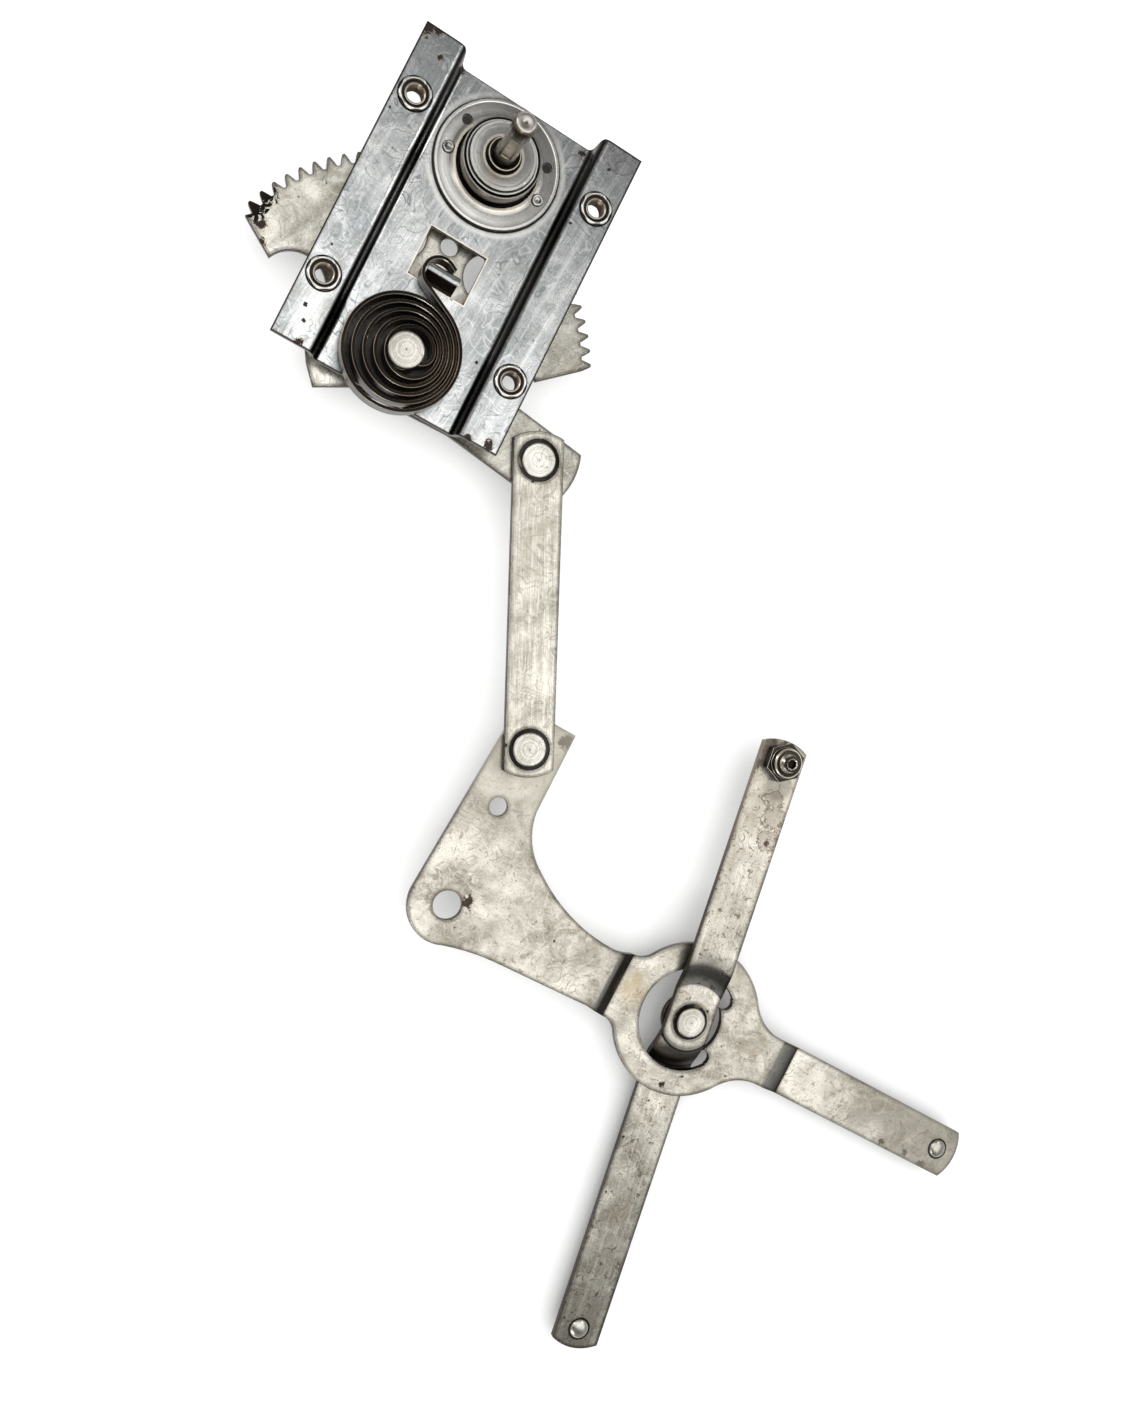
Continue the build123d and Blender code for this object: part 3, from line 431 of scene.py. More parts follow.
def relief(coat, height, strength, depth_mm):
    """Very shallow bumps, laid over the relief that the coat already has."""
    before = [link.from_socket for link in coat.shader.inputs["Normal"].links]
    under = {"Normal": before[0]} if before else {}
    bump = put(coat, "Bump", Strength=strength, Distance=depth_mm * mm, Height=height, **under)
    plug(coat, bump["Normal"], "Normal")


def worn_metal(name, light, dark, heading_deg=90.0, cloud_mm=26.0, roughness=(0.24, 0.42), marks=0.6,
               streak=0.4, grain=0.35, swirl=0.4, stain=0.4, spots=(), grease=(), edge=bare_and_shade_brown,
               bump=0.12, pit=0.10, shade_fade=None):
    """Metal toned between two colours, with wear; fade is painted shade, given as two points and how dark the
    second is.
    """
    coat = blank_finish(name)
    toning = spread(coat, clouds(coat, cloud_mm, 6.0, 0.8), 0.36, 0.64)
    fine = clouds(coat, 0.9, 5.0, 0.3, 0.8)
    wiped = clouds(coat, 17.0, 5.0, 1.3, 0.5)
    rolled = streaks(coat, 3.2, 80.0, heading_deg)
    drawn = streaks(coat, 0.30, 10.0, heading_deg)
    shine = [min(1.0, 1.15 * v) for v in light]
    plug(coat, mixed(coat, toning, dark, light), "Base Color")
    # painted shade, deepening from the first point to the second
    if shade_fade:
        over(coat, along(coat, *shade_fade[:2]), dimmed(dark, 0.45), shade_fade[2])
    for noise, low, high, share, tone in (      # the tone is at full share where the noise is at high
            (wiped, 0.52, 0.62, swirl, dimmed(dark, 0.8)), (wiped, 0.46, 0.34, swirl, shine),
            (rolled, 0.50, 0.72, streak, dark), (rolled, 0.48, 0.30, streak, shine),
            (drawn, 0.48, 0.75, streak, dark), (drawn, 0.46, 0.28, streak, shine),
            (fine, 0.50, 0.66, grain, dimmed(dark, 0.5)), (fine, 0.48, 0.36, grain, shine)):
        over(coat, spread(coat, noise, low, high, 0.0, share), tone)
    pale = spread(coat, toning, 0.7, 0.3, 0.0, 0.6 * marks)
    over(coat, times(coat, tide_marks(coat, 15.0, 6.0, 0.10), pale), shine)
    patches = spread(coat, clouds(coat, 22.0, 3.0), 0.42, 0.56, 0.0, marks)
    over(coat, times(coat, tide_marks(coat, 12.0, 9.0), patches), dimmed(dark, 0.55))
    over(coat, spread(coat, clouds(coat, 17.0, 5.0, 1.6, 0.6), 0.60, 0.68, 0.0, stain), dry_stain)
    cover = pits(coat, 4.0, pit)
    # cut edges are bare brown; the outline painted a little way inside every edge is painted shade
    if edge:
        cut = sums(coat, "MAXIMUM", sheared_edge(coat), edge_outline_shade(coat, 2.7))
        over(coat, burr(coat), rubbed_and_highlight_white, 0.4)
        over(coat, cut, edge)
    over(coat, cover, rust_black)
    if spots:
        torn = ragged_spots(coat, spots)
        over(coat, spread(coat, torn, 0.88, 1.0, 0.0, 0.8), rust_orange)
        core = spread(coat, torn, 1.0, 1.05)
        over(coat, core, rust_black)
        cover = sums(coat, "MAXIMUM", cover, core)
    if grease:
        over(coat, spread(coat, ragged_spots(coat, grease), 0.84, 0.90), grease_and_shade_black)
    # painted shade and dirt where other metal stands close by
    over(coat, crevice_shade_and_dirt(coat), grease_and_shade_black)
    bare = sums(coat, "MAXIMUM", cover, times(coat, cut, 0.15)) if edge else cover
    plug(coat, spread(coat, bare, 0.0, 1.0, 1.0, 0.1), "Metallic")
    sheen = sums(coat, "SUBTRACT", times(coat, wiped, 0.6), times(coat, toning, 0.3))
    rough = spread(coat, sheen, -0.1, 0.42, *roughness)
    plug(coat, sums(coat, "ADD", rough, times(coat, cover, 0.25)), "Roughness")
    height = sums(coat, "ADD", times(coat, drawn, 0.35), times(coat, fine, 0.5))
    height = sums(coat, "ADD", height, times(coat, clouds(coat, 9.0, 2.0), 2.5))
    relief(coat, sums(coat, "SUBTRACT", height, cover), bump, 0.40)
    return coat


print("recipe ready")

# %% [markdown]
# ## Plated arm steel
# The sector, the link and both arms are pressed from one warm, cream-grey plated sheet. The sector
# keeps old grease on its first teeth, and rust starts at corners and round the door pivot's hole.
# Both bends of the first arm and the dish in the crossed arm are painted dark where they turn away
# from the light: painted shade that runs out softly to one side. The sector's far limb, the first
# arm at the top of its bellcrank and towards its roller, and the crossed arm towards its roller and
# its stud are darker in painted shade too, and a dark ring of painted shade sits at each dome's foot.
# Oil has dripped and dried below the crossed arm's stud.

# %% Levels, places and tones of the arms
cream_light, cream_dark = (0.79, 0.755, 0.665), (0.38, 0.355, 0.29)
sector_light = (0.95, 0.91, 0.81)
# colour of the painted shade on the bends
fold_shade = (0.016, 0.013, 0.010)
oil_tan, drip_brown, drip_black = (0.62, 0.48, 0.28), (0.12, 0.08, 0.04), (0.09, 0.055, 0.028)
shade_tan, nut_shade = (0.42, 0.37, 0.29), (0.30, 0.28, 0.24)
sector_level, bell_level, high_level = [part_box(node)[1][2] / mm for node in ("sector_gear", "arm_a", "arm_b")]
ring_level, low_level = -21.5, -25.9
scissor_mm = middle_mm("scissor_bush")
arm_heading_deg = -2.5
folds_mm = ((-56.0, -39.2), (46.0, 60.8))      # top and foot of arm A's two bends, from the scissor pivot
finishes = {}


def along_arm(distance_mm):
    """Point on arm A's long axis, counted from the scissor pivot."""
    return Vector(scissor_mm) + distance_mm * heading(arm_heading_deg)


def stud_ring(coat, node):
    """Dark ring on the arm round a stud's dome: painted shade at its foot."""
    over(coat, ring_at(coat, far_from(coat, middle_mm(node)), 4.8, 0.45, 0.3), grease_and_shade_black)


print("roller end of arm A near", [round(v) for v in along_arm(150.0)], "mm")

# %% Sector, link and arm A
# the sector darkens towards its far limb in painted shade
finishes["sector_gear"] = worn_metal(
    "sector_steel", sector_light, cream_dark, 60.0, streak=0.25, shade_fade=((-10.0, -30.0), (60.0, -36.0), 0.5),
    grease=[(-78.5, -27.0, sector_level, 9.5), (-76.5, -20.5, sector_level, 8.0)],
    spots=[(-72.5, -32.0, sector_level, 3.5), (-69.0, -38.0, sector_level, 3.0)])
finishes["link_bar"] = worn_metal("link_steel", cream_light, cream_dark, -65.0, streak=0.8)
arm = worn_metal(
    "arm_steel", cream_light, cream_dark, 0.0, streak=0.15, swirl=0.45, stain=0.6,
    spots=[(127.8, -243.5, bell_level, 4.5), (136.5, -163.0, bell_level, 6.0),
           (176.0, -265.0, bell_level, 3.0), (251.4, -284.5, ring_level, 3.0),
           (400.9, -272.5, low_level, 4.0), (390.0, -270.0, low_level, 2.6), (375.0, -269.5, low_level, 2.4)])
# painted shade on arm A's two bends: darker towards each foot, ending sharply at it
for top_mm, foot_mm in folds_mm:
    bend = sums(arm, "POWER", along(arm, along_arm(top_mm), along_arm(foot_mm)), 1.7)
    past = along(arm, along_arm(foot_mm), along_arm(foot_mm + 0.5))
    over(arm, times(arm, bend, sums(arm, "SUBTRACT", 1.0, past)), fold_shade)
drips = [(233.0, -283.0, ring_level, 9.0), (398.0, -262.0, low_level, 8.0), (118.0, -243.0, bell_level, 12.0)]
over(arm, dried_drips(arm, drips), drip_brown, 0.6)
over(arm, around(arm, (217.5, -250.0, ring_level), 2.0, 10.0), oil_tan, 0.45)
# painted shade: the bellcrank darker towards its top, and arm A darker towards its roller
over(arm, along(arm, (118.0, -222.0), (124.0, -180.0)), cream_dark, 0.75)
over(arm, along(arm, along_arm(75.0), along_arm(140.0)), cream_dark, 0.5)
stud_ring(arm, "roller_stud_a")
finishes["arm_a"] = arm
print("sector, link and arm A ready")

# %% Crossed arm
# the crossed arm darkens towards its roller in painted shade
crossed = worn_metal(
    "crossed_arm_steel", cream_light, cream_dark, -82.8, streak=0.45, stain=0.4,
    shade_fade=((253.5, -290.0), (256.0, -308.0), 0.5),
    spots=[(244.5, -163.5, high_level, 2.4), (225.5, -122.0, high_level, 7.0),
           (223.5, -132.0, high_level, 3.5)])
far = far_from(crossed, scissor_mm)
stud_side = along(crossed, scissor_mm, (248.8, -247.0))
# painted shade over the dish round the scissor pivot: rising out of it on the stud side, sinking into it on the
# other
rise = times(crossed, spread(crossed, far, 17.4, 22.5, 0.1, 0.82), spread(crossed, far, 36.0, 25.0),
             spread(crossed, far, 17.0, 17.4))
over(crossed, times(crossed, rise, stud_side), fold_shade)
dive = sums(crossed, "MAXIMUM", spread(crossed, far, 16.5, 14.0), spread(crossed, far, 18.5, 22.0))
dive = times(crossed, dive, spread(crossed, far, 13.4, 13.8), spread(crossed, far, 23.8, 23.2))
over(crossed, times(crossed, dive, sums(crossed, "SUBTRACT", 1.0, stud_side)), fold_shade)
# painted shade on the crossed arm's upper end, towards the nut
over(crossed, along(crossed, (242.0, -190.0), (236.0, -138.0)), shade_tan, 0.4)
over(crossed, around(crossed, (237.5, -137.5, high_level), 5.6, 8.0), nut_shade, 0.75)
drips = [(242.5, -152.0, high_level, 8.0), (244.0, -162.0, high_level, 6.5), (239.0, -144.0, high_level, 6.0)]
over(crossed, dried_drips(crossed, drips), drip_black, 0.9)
stud_ring(crossed, "roller_stud_b")
finishes["arm_b"] = finishes["pivot_strap"] = crossed
print("crossed arm ready")

# %% [markdown]
# ## Zinc plate
# The mounting plate is hot-dipped: cooler and bluer than the arms, darker towards the crank end in
# painted shade, and almost white at the far end. Its edges were cut after dipping, so they are
# brown. The shared recipe finds cut edges by their slope, but here it would brown the bends too. A
# mask painted by hand would have to be stored as an image. The outlines of the plate and of its
# window, given as boxes on the floor plan, tell the edges apart from a few sizes. The channel's
# steep walls are painted in shade with a painted reflection line along them, and a painted
# highlight runs along the window's edge and rings the brake housing. Painted shade darkens the plate
# under the spring, at the housing's foot and round the collars of the nuts.

# %% Zinc plate
zinc_light, zinc_dark = (1.0, 1.0, 0.97), (0.43, 0.455, 0.455)
wall_shade, wall_reflection, rim_highlight = (0.014, 0.012, 0.010), (0.42, 0.42, 0.40), (0.92, 0.84, 0.70)
hole_shade = (0.06, 0.055, 0.05)
plate_low, plate_high = [[v / mm for v in corner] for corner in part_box("mounting_plate")]
window_low, window_high = (-13.4, -20.4), (12.1, 1.3)
tab_low, tab_high = (-8.2, -20.3), (6.8, -8.0)
web_level, web_crank_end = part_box("brake_housing")[0][2] / mm, 64.2
wall_inside, wall_outside = 24.0, 40.5
housing_holes = ((-19.9, 46.7, web_level), (17.5, 47.4, web_level))
# the plate darkens towards the crank end in painted shade
zinc = worn_metal(
    "galvanised_plate", zinc_light, zinc_dark, 84.0, 30.0, (0.22, 0.38), marks=0.9, streak=0.6, swirl=0.5,
    stain=0.2, edge=None, shade_fade=((-12.0, -50.0), (10.0, 0.0), 0.40),
    spots=[(-50.0, 67.0, 0, 6.0), (-45.5, 68.5, 0, 4.0), (-40.0, 59.0, 0, 2.2), (46.0, -68.5, 0, 4.0),
           (37.0, -69.5, 0, 3.0), (-43.0, -55.0, 0, 1.6), (-41.0, -61.0, 0, 1.2), (-39.0, -69.5, 0, 3.0),
           (40.0, 58.0, 0, 1.6), (-31.0, 63.0, web_level, 3.5), (28.0, 61.5, web_level, 2.5)])
x, y, level = put(zinc, "SeparateXYZ", Vector=zinc.place)[:3]
window = out_of_box(zinc, window_low, window_high)
# painted highlight along the window's edge
rim = times(zinc, spread(zinc, window, 0.9, 0.6), spread(zinc, window, 0.1, 0.3))
over(zinc, rim, rim_highlight)
across = sums(zinc, "ABSOLUTE", x)
# painted shade on the channel's steep walls, with a painted reflection line along their middle
walls = times(zinc, sheared_edge(zinc, 0.985, 0.80), spread(zinc, across, wall_inside, wall_inside + 1.0),
              spread(zinc, across, wall_outside, wall_outside - 1.0))
over(zinc, walls, wall_shade)
line = spread(zinc, sums(zinc, "ABSOLUTE", sums(zinc, "ADD", level, 5.4)), 0.5, 0.2)
over(zinc, times(zinc, walls, line), wall_reflection)
for hole in housing_holes:
    over(zinc, around(zinc, hole, 1.6, 2.6), hole_shade, metal=0.7)
from_crank = far_from(zinc, middle_mm("driver_cup"))
# painted highlight ringing the housing, and painted shade at the housing's foot
over(zinc, ring_at(zinc, from_crank, 28.6, 0.9, 0.8), rubbed_and_highlight_white, 0.8)
over(zinc, ring_at(zinc, from_crank, 26.8, 0.45, 0.25), grease_and_shade_black)
# painted shade on the plate under the spring
spring_x, spring_y = middle_mm("sector_bush")
over(zinc, around(zinc, (spring_x - 2.0, spring_y - 0.5, web_level), 22.5, 25.0), grease_and_shade_black, 0.92)
# painted shade round the collar of each nut
for number in range(1, 5):
    over(zinc, ring_at(zinc, far_from(zinc, middle_mm(f"weld_nut_{number}")), 6.9, 0.40), grease_and_shade_black)
print("zinc ready")

# %% The plate's cut edges
outline = spread(zinc, out_of_box(zinc, plate_low, plate_high), -1.0, -0.4)
web_end = times(zinc, spread(zinc, y, web_crank_end - 0.5, web_crank_end - 0.1),
                spread(zinc, level, -1.0, -2.5))
cut = sums(zinc, "MAXIMUM", sums(zinc, "MAXIMUM", outline, web_end), spread(zinc, window, 0.22, 0.06))
on_tab = times(zinc, spread(zinc, out_of_box(zinc, tab_low, tab_high), 0.1, -0.1),
               spread(zinc, level, -8.4, -8.0))
over(zinc, sums(zinc, "SUBTRACT", cut, on_tab), bare_and_shade_brown, metal=0.85)
over(zinc, times(zinc, on_tab, spread(zinc, level, 0.6, -0.6)), bare_and_shade_brown, metal=0.5)
finishes["mounting_plate"] = zinc
print("edges browned")

# %% [markdown]
# ## Turned and pressed steel
# The brake housing and the driver cup were pressed round and then spun, so their marks run in
# rings about the crank. Pins and rivets were turned on a lathe: each shows faint rings about its
# own centre. One function adds those rings to the shared recipe, as noise read along the distance
# from the axis and pushed about a little, so that no ring is a perfect circle.

# %% Ringed finishes


def ringed_metal(name, centre, light, dark, ring_mm, strength, dot_mm=None, **wear):
    """Worn metal with lathe rings about an upright axis; the coat keeps the distance from it."""
    coat = worn_metal(name, light, dark, edge=None, **wear)
    coat.far = far_from(coat, centre)
    wobble = times(coat, clouds(coat, 5.0, 2.0), 1.2)
    rings = put(coat, "TexNoise", {"noise_dimensions": "1D"}, W=sums(coat, "ADD", coat.far, wobble),
                Scale=1 / ring_mm, Detail=3.0)[0]
    over(coat, spread(coat, rings, 0.50, 0.70, 0.0, strength), dark)
    over(coat, spread(coat, rings, 0.46, 0.30, 0.0, strength), rubbed_and_highlight_white)
    if dot_mm:
        over(coat, spread(coat, coat.far, dot_mm, 0.7 * dot_mm), rust_black, metal=0.4)
    relief(coat, rings, 0.5 * strength, 0.15)
    return coat


pin_light, pin_dark = (0.77, 0.745, 0.68), (0.42, 0.39, 0.33)
pins = ("sector_pin", "link_pin_upper", "link_pin_lower", "scissor_pin")
studs = ("roller_stud_a", "roller_stud_b")
pin_wear = {"dot_mm": 0.35, "bump": 0.08, "pit": 0.04, "grain": 0.25}
stud_wear = {"bump": 0.0, "pit": 0.0, "grain": 0.1, "swirl": 0.15, "marks": 0.0}
for group, wear, steep in ((pins, pin_wear, (0.60, 0.30)), (studs, stud_wear, (0.40, 0.20))):
    for node in group:
        pin = ringed_metal(node + "_steel", middle_mm(node), pin_light, pin_dark, 0.8, 0.6,
                           roughness=(0.26, 0.36), **wear)
        # painted shade on the steep rims of the pin heads and domes
        over(pin, sheared_edge(pin, *steep), bare_and_shade_brown, 0.95, 0.5)
        finishes[node] = pin
print("pins ready")

# %% [markdown]
# ## The brake housing
# The housing is one pressing: a flange with a turned-up rim, a lip that flares up to a moat, and
# the drum standing in it. The moat, the drum's mouth and the drum's wall are painted in shade,
# darkest towards the bottom, and so are the walls round its holes and soft rings on the flange. A
# line along the rim and a broad band on the flange are painted highlights, and the tan lip is
# painted brighter on one side. All of these are rings about the crank, so the distance from the
# crank's axis is enough to place them. A gradient across the crank puts the painted highlights on
# one side and painted shade on the other.

# %% Brake housing
crank_x, crank_y = crank_mm = middle_mm("driver_cup")
house_light, press_dark_and_shade = (0.72, 0.705, 0.66), (0.40, 0.39, 0.36)
tan_highlight, shade_brown = (0.96, 0.87, 0.74), (0.23, 0.17, 0.11)
rim_mm, flange_mm, lip_mm, drum_mm, drum_inside_mm = 26.4, 22.6, 18.1, 16.4, 15.4
pressed = {"roughness": (0.20, 0.30), "stain": 0.1, "streak": 0.1}
house = ringed_metal("housing_steel", crank_mm, house_light, press_dark_and_shade, 2.4, 0.5, bump=0.06, marks=0.2,
                     pit=0.05, **pressed)
upright, level = sheared_edge(house, 0.45, 0.25), height_of(house)
# gradient towards the lit side, which carries the painted highlights
lit_side = along(house, (crank_x + 18.0, crank_y + 12.0), (crank_x - 16.0, crank_y - 20.0))
# painted highlight: a broad band on the flange towards the lit side
over(house, times(house, ring_at(house, house.far, flange_mm, 1.5, 1.2),
                  spread(house, lit_side, 0.0, 1.0, 0.0, 0.95)), rubbed_and_highlight_white)
# painted shade: soft darker rings on the flange, and the flange darker away from the lit side
over(house, ring_at(house, house.far, flange_mm - 2.3, 0.5, 0.6), press_dark_and_shade, 0.45)
over(house, ring_at(house, house.far, flange_mm + 2.0, 0.3, 0.5), press_dark_and_shade, 0.4)
over(house, times(house, spread(house, lit_side, 0.6, 0.0, 0.0, 0.5), spread(house, house.far, 19.0, 19.6)),
     press_dark_and_shade)
# tan lip, painted brighter towards the lit side
over(house, times(house, ring_at(house, house.far, lip_mm, 0.9, 0.4),
                  spread(house, lit_side, 0.0, 0.7, 0.35, 1.0)), tan_highlight)
# painted highlight along the rim
over(house, ring_at(house, house.far, rim_mm - 0.75, 0.5), rubbed_and_highlight_white)
# painted shade on the walls round the holes
for hole in housing_holes:
    over(house, times(house, upright, around(house, hole, 3.0, 4.0)), grease_and_shade_black, metal=0.4)
# painted shade on the drum's wall, darker away from the lit side and towards its foot
wall = times(house, upright, spread(house, house.far, drum_mm + 0.2, drum_mm + 0.05))
over(house, times(house, wall, spread(house, lit_side, 0.75, 0.95, 0.92, 0.35)), shade_brown)
over(house, times(house, wall, spread(house, level, 1.0, -3.5)), grease_and_shade_black)
over(house, times(house, upright, spread(house, house.far, rim_mm - 0.4, rim_mm - 0.1)),
     bare_and_shade_brown, metal=0.5)
# painted shade in the moat and in the drum's mouth
over(house, ring_at(house, house.far, drum_mm + 0.5, 0.55, 0.1), grease_and_shade_black)
over(house, spread(house, house.far, drum_inside_mm + 0.7, drum_inside_mm + 0.35), grease_and_shade_black)
finishes["brake_housing"] = house
print("housing ready")

# %% Driver cup and brake spring
cup_light, wire_light, wire_dark = (0.74, 0.72, 0.675), (0.20, 0.18, 0.15), (0.05, 0.045, 0.04)
cup_rim_mm, dish_mm, step_mm, collar_mm, wire_mm = 13.25, 12.2, 9.3, 8.1, 14.7
cup = ringed_metal("cup_steel", crank_mm, cup_light, press_dark_and_shade, 2.2, 0.5, bump=0.05, grain=0.45, marks=0.15,
                   pit=0.03, **pressed)
# gradient towards the lit side, for painted highlights and painted shade
lit_side = along(cup, (crank_x + 8.0, crank_y + 8.0), (crank_x - 9.0, crank_y - 11.0))
# painted highlight on the dish towards the lit side, painted shade away from it
over(cup, times(cup, ring_at(cup, cup.far, dish_mm, 0.9, 0.9), spread(cup, lit_side, 0.3, 1.0, 0.0, 0.8)),
     rubbed_and_highlight_white)
over(cup, times(cup, spread(cup, lit_side, 0.45, 0.0, 0.0, 0.5), spread(cup, cup.far, 13.0, 12.0)), press_dark_and_shade)
# painted highlight on the rim and on the collar's top, a ring of painted shade at the step, and painted shade
# on the upright faces
over(cup, ring_at(cup, cup.far, cup_rim_mm, 0.55), rubbed_and_highlight_white)
over(cup, ring_at(cup, cup.far, step_mm, 0.4, 0.5), press_dark_and_shade, 0.8)
over(cup, ring_at(cup, cup.far, collar_mm, 0.45), tan_highlight)
over(cup, sheared_edge(cup, 0.40, 0.20), grease_and_shade_black)
finishes["driver_cup"] = cup

wire = worn_metal("brake_wire", wire_light, wire_dark, edge=None, roughness=(0.25, 0.35), bump=0.05)
# painted highlight along one ring of the brake spring, painted shade on its upright faces
over(wire, ring_at(wire, far_from(wire, crank_mm), wire_mm, 0.22, 0.1), rubbed_and_highlight_white)
over(wire, sheared_edge(wire, 0.35, 0.20), grease_and_shade_black)
finishes["brake_spring"] = wire
print("cup and brake spring ready")

# %% [markdown]
# ## Dark steels
# The clock spring is blued and oiled, the crank spindle is dark drawn bar, the bushes are black,
# and the guide stud with its nut is chemically blackened. Plain black paint would lose the sharp
# highlights of metal, so all of them take the shared recipe with dark tones. They wear through to
# bright metal where something rubs. The spring's tan edges are partly a painted highlight. The
# spindle is painted in shade on one side, on its round faces, at its shoulders and towards its
# lower end, and the top of its sleeve carries a painted highlight.

# %% Clock spring and spindle
worn_and_highlight_tan, blued, blued_dark = (0.50, 0.42, 0.33), (0.022, 0.018, 0.015), (0.008, 0.007, 0.006)
bar_light, bar_dark, bar_shade = (0.42, 0.37, 0.29), (0.05, 0.040, 0.028), (0.045, 0.036, 0.026)
tip_brown, tip_pale = (0.14, 0.10, 0.06), (0.60, 0.57, 0.52)
shaded_side_deg = 26.9
clock = worn_metal("blued_spring", blued, blued_dark, edge=None, roughness=(0.22, 0.34), swirl=0.0,
                   streak=0.0, marks=0.0, stain=0.0, bump=0.04, pit=0.02)
# the strip's bevelled edges painted tan: worn edges and painted highlight
over(clock, burr(clock, 0.90, 0.62), worn_and_highlight_tan)
finishes["counterbalance_spring"] = clock
for node in ("crank_shaft", "pinion"):
    bar = ringed_metal(node + "_steel", crank_mm, bar_light, bar_dark, 1.2, 0.15, marks=0.0,
                       roughness=(0.24, 0.38), bump=0.08, pit=0.08, swirl=0.25, grain=0.4, stain=0.1)
    level, upright = height_of(bar), sheared_edge(bar, 0.6, 0.3)
    lit, shaded = [Vector(crank_mm) + way * heading(shaded_side_deg) for way in (-2.5, 4.0)]
    # painted shade on one side of the spindle
    over(bar, along(bar, lit, shaded), bar_shade, 0.85)
    over(bar, spread(bar, level, 38.2, 39.0), tip_brown)
    over(bar, spread(bar, level, 40.2, 40.6), tip_pale)
    # painted shade on the spindle's round faces
    over(bar, times(bar, upright, spread(bar, bar.far, 4.1, 4.5, 0.1, 0.85)), bar_shade)
    # painted shade on the shoulders where the flats begin and end
    for slot_mm in (13.6, 31.2):
        slot = spread(bar, sums(bar, "ABSOLUTE", sums(bar, "SUBTRACT", level, slot_mm)), 1.2, 0.6)
        over(bar, times(bar, slot, upright), grease_and_shade_black)
    # painted shade towards the lower end
    over(bar, spread(bar, level, 14.0, 6.8, 0.0, 0.9), grease_and_shade_black)
    # painted highlight along the top of the sleeve
    sleeve = times(bar, ring_at(bar, bar.far, 6.45, 0.27, 0.08), spread(bar, level, 6.0, 6.4))
    over(bar, sleeve, tan_highlight, metal=1.0)
    finishes[node] = bar
print("clock spring and spindle ready")

# %% Bushes, stud and lock nut
bush_light, bush_dark = (0.05, 0.045, 0.04), (0.010, 0.009, 0.008)
oxide_light, oxide_dark, oxide_worn = (0.055, 0.045, 0.035), (0.010, 0.008, 0.007), (0.80, 0.74, 0.63)
bush = worn_metal("black_bush", bush_light, bush_dark, edge=None, roughness=(0.35, 0.55), swirl=0.0,
                  streak=0.0)
for node in ("spindle_bush", "sector_bush", "link_bush_upper", "link_bush_lower", "scissor_bush"):
    finishes[node] = bush
oxide = worn_metal("blackened_nut", oxide_light, oxide_dark, edge=None, roughness=(0.20, 0.34), swirl=0.15,
                   streak=0.0, marks=0.0, stain=0.0, bump=0.06)
over(oxide, burr(oxide, 0.97, 0.66), oxide_worn, 0.8)
finishes["guide_stud"] = finishes["lock_nut"] = oxide
print("bushes, stud and nut ready")

# %% [markdown]
# ## Moulded rollers
# The rollers are off-white plastic, yellowed, with dirt rubbed into them. Fresh plastic lets light
# in below its skin, which subsurface scattering would show. This one is dull and dirty, so two
# cloudy tones, dark pits and a fine relief say enough and render faster.

# %% Roller plastic
plastic_light, plastic_dark = (0.62, 0.56, 0.44), (0.36, 0.31, 0.23)
roller = blank_finish("roller_plastic")
toning = clouds(roller, 5.0, 5.0, 0.5)
plug(roller, mixed(roller, spread(roller, toning, 0.35, 0.65), plastic_light, plastic_dark), "Base Color")
over(roller, pits(roller, 1.5, 0.3), grease_and_shade_black)
plug(roller, spread(roller, toning, 0.3, 0.7, 0.40, 0.60), "Roughness")
relief(roller, clouds(roller, 0.8), 0.15, 0.20)
finishes["roller_a"] = finishes["roller_b"] = roller
print("rollers ready")

# %% [markdown]
# ## Parts turned on a lathe
# Nuts, rivets and spindles all come from round bar. A cylinder with a bevel would be the quick
# way, but it has no thread, no dimple and no flats. Here the skin is drawn through rings, one
# station after another along the profile: a station has a radius and a height, may be cut to
# flats, and may carry a share of a screw thread, so one function serves the whole family.

# %% A skin through rings


def spun(name, centre, stations, foot=0.0, steps=72, pitch=1.25, turn_deg=0.0, closed=False, nick=None):
    """Mesh object; a station is radius, height, then flat distance, sides and thread depth, all mm.

    nick is heading, width in degrees and depth of a dent in whatever stands above the foot.
    """
    skin = bmesh.new()
    rings = []
    for radius, height, *more in stations:
        flat, sides, cut = (more + [0, 0, 0])[:3]
        ring = []
        for step in range(steps if radius > 0 else 1):
            angle = 2 * pi * step / steps
            reach = radius
            if flat:
                share = (angle - radians(turn_deg)) % (2 * pi / sides) - pi / sides
                reach = min(reach, flat / cos(share))
            if cut:
                reach += cut * abs(((height / pitch - angle / (2 * pi)) % 1) * 2 - 1)
            drop = 0.0
            if nick and height > 0:
                off = (degrees(angle) - nick[0] + 180) % 360 - 180
                drop = min(nick[2] * exp(-(off / nick[1]) ** 2), height)
            ring.append(skin.verts.new(((centre[0] + reach * cos(angle)) * mm,
                                        (centre[1] + reach * sin(angle)) * mm,
                                        (foot + height - drop) * mm)))
        rings.append(ring)
    for low, high in list(zip(rings, rings[1:])) + ([(rings[-1], rings[0])] if closed else []):
        for step in range(steps):
            ahead = (step + 1) % steps
            corners = (low[step % len(low)], low[ahead % len(low)],
                       high[ahead % len(high)], high[step % len(high)])
            skin.faces.new(list(dict.fromkeys(corners)))
    bmesh.ops.recalc_face_normals(skin, faces=skin.faces)
    return finished(name, skin)


def finished(name, skin, sharp_deg=38.0):
    """Turn a bmesh into an object that is smooth up to sharp_deg."""
    mesh = bpy.data.meshes.new(name)
    skin.to_mesh(mesh)
    skin.free()
    mesh.polygons.foreach_set("use_smooth", [True] * len(mesh.polygons))
    mesh.set_sharp_from_angle(angle=radians(sharp_deg))
    piece = bpy.data.objects.new(name, mesh)
    bpy.context.scene.collection.objects.link(piece)
    return piece


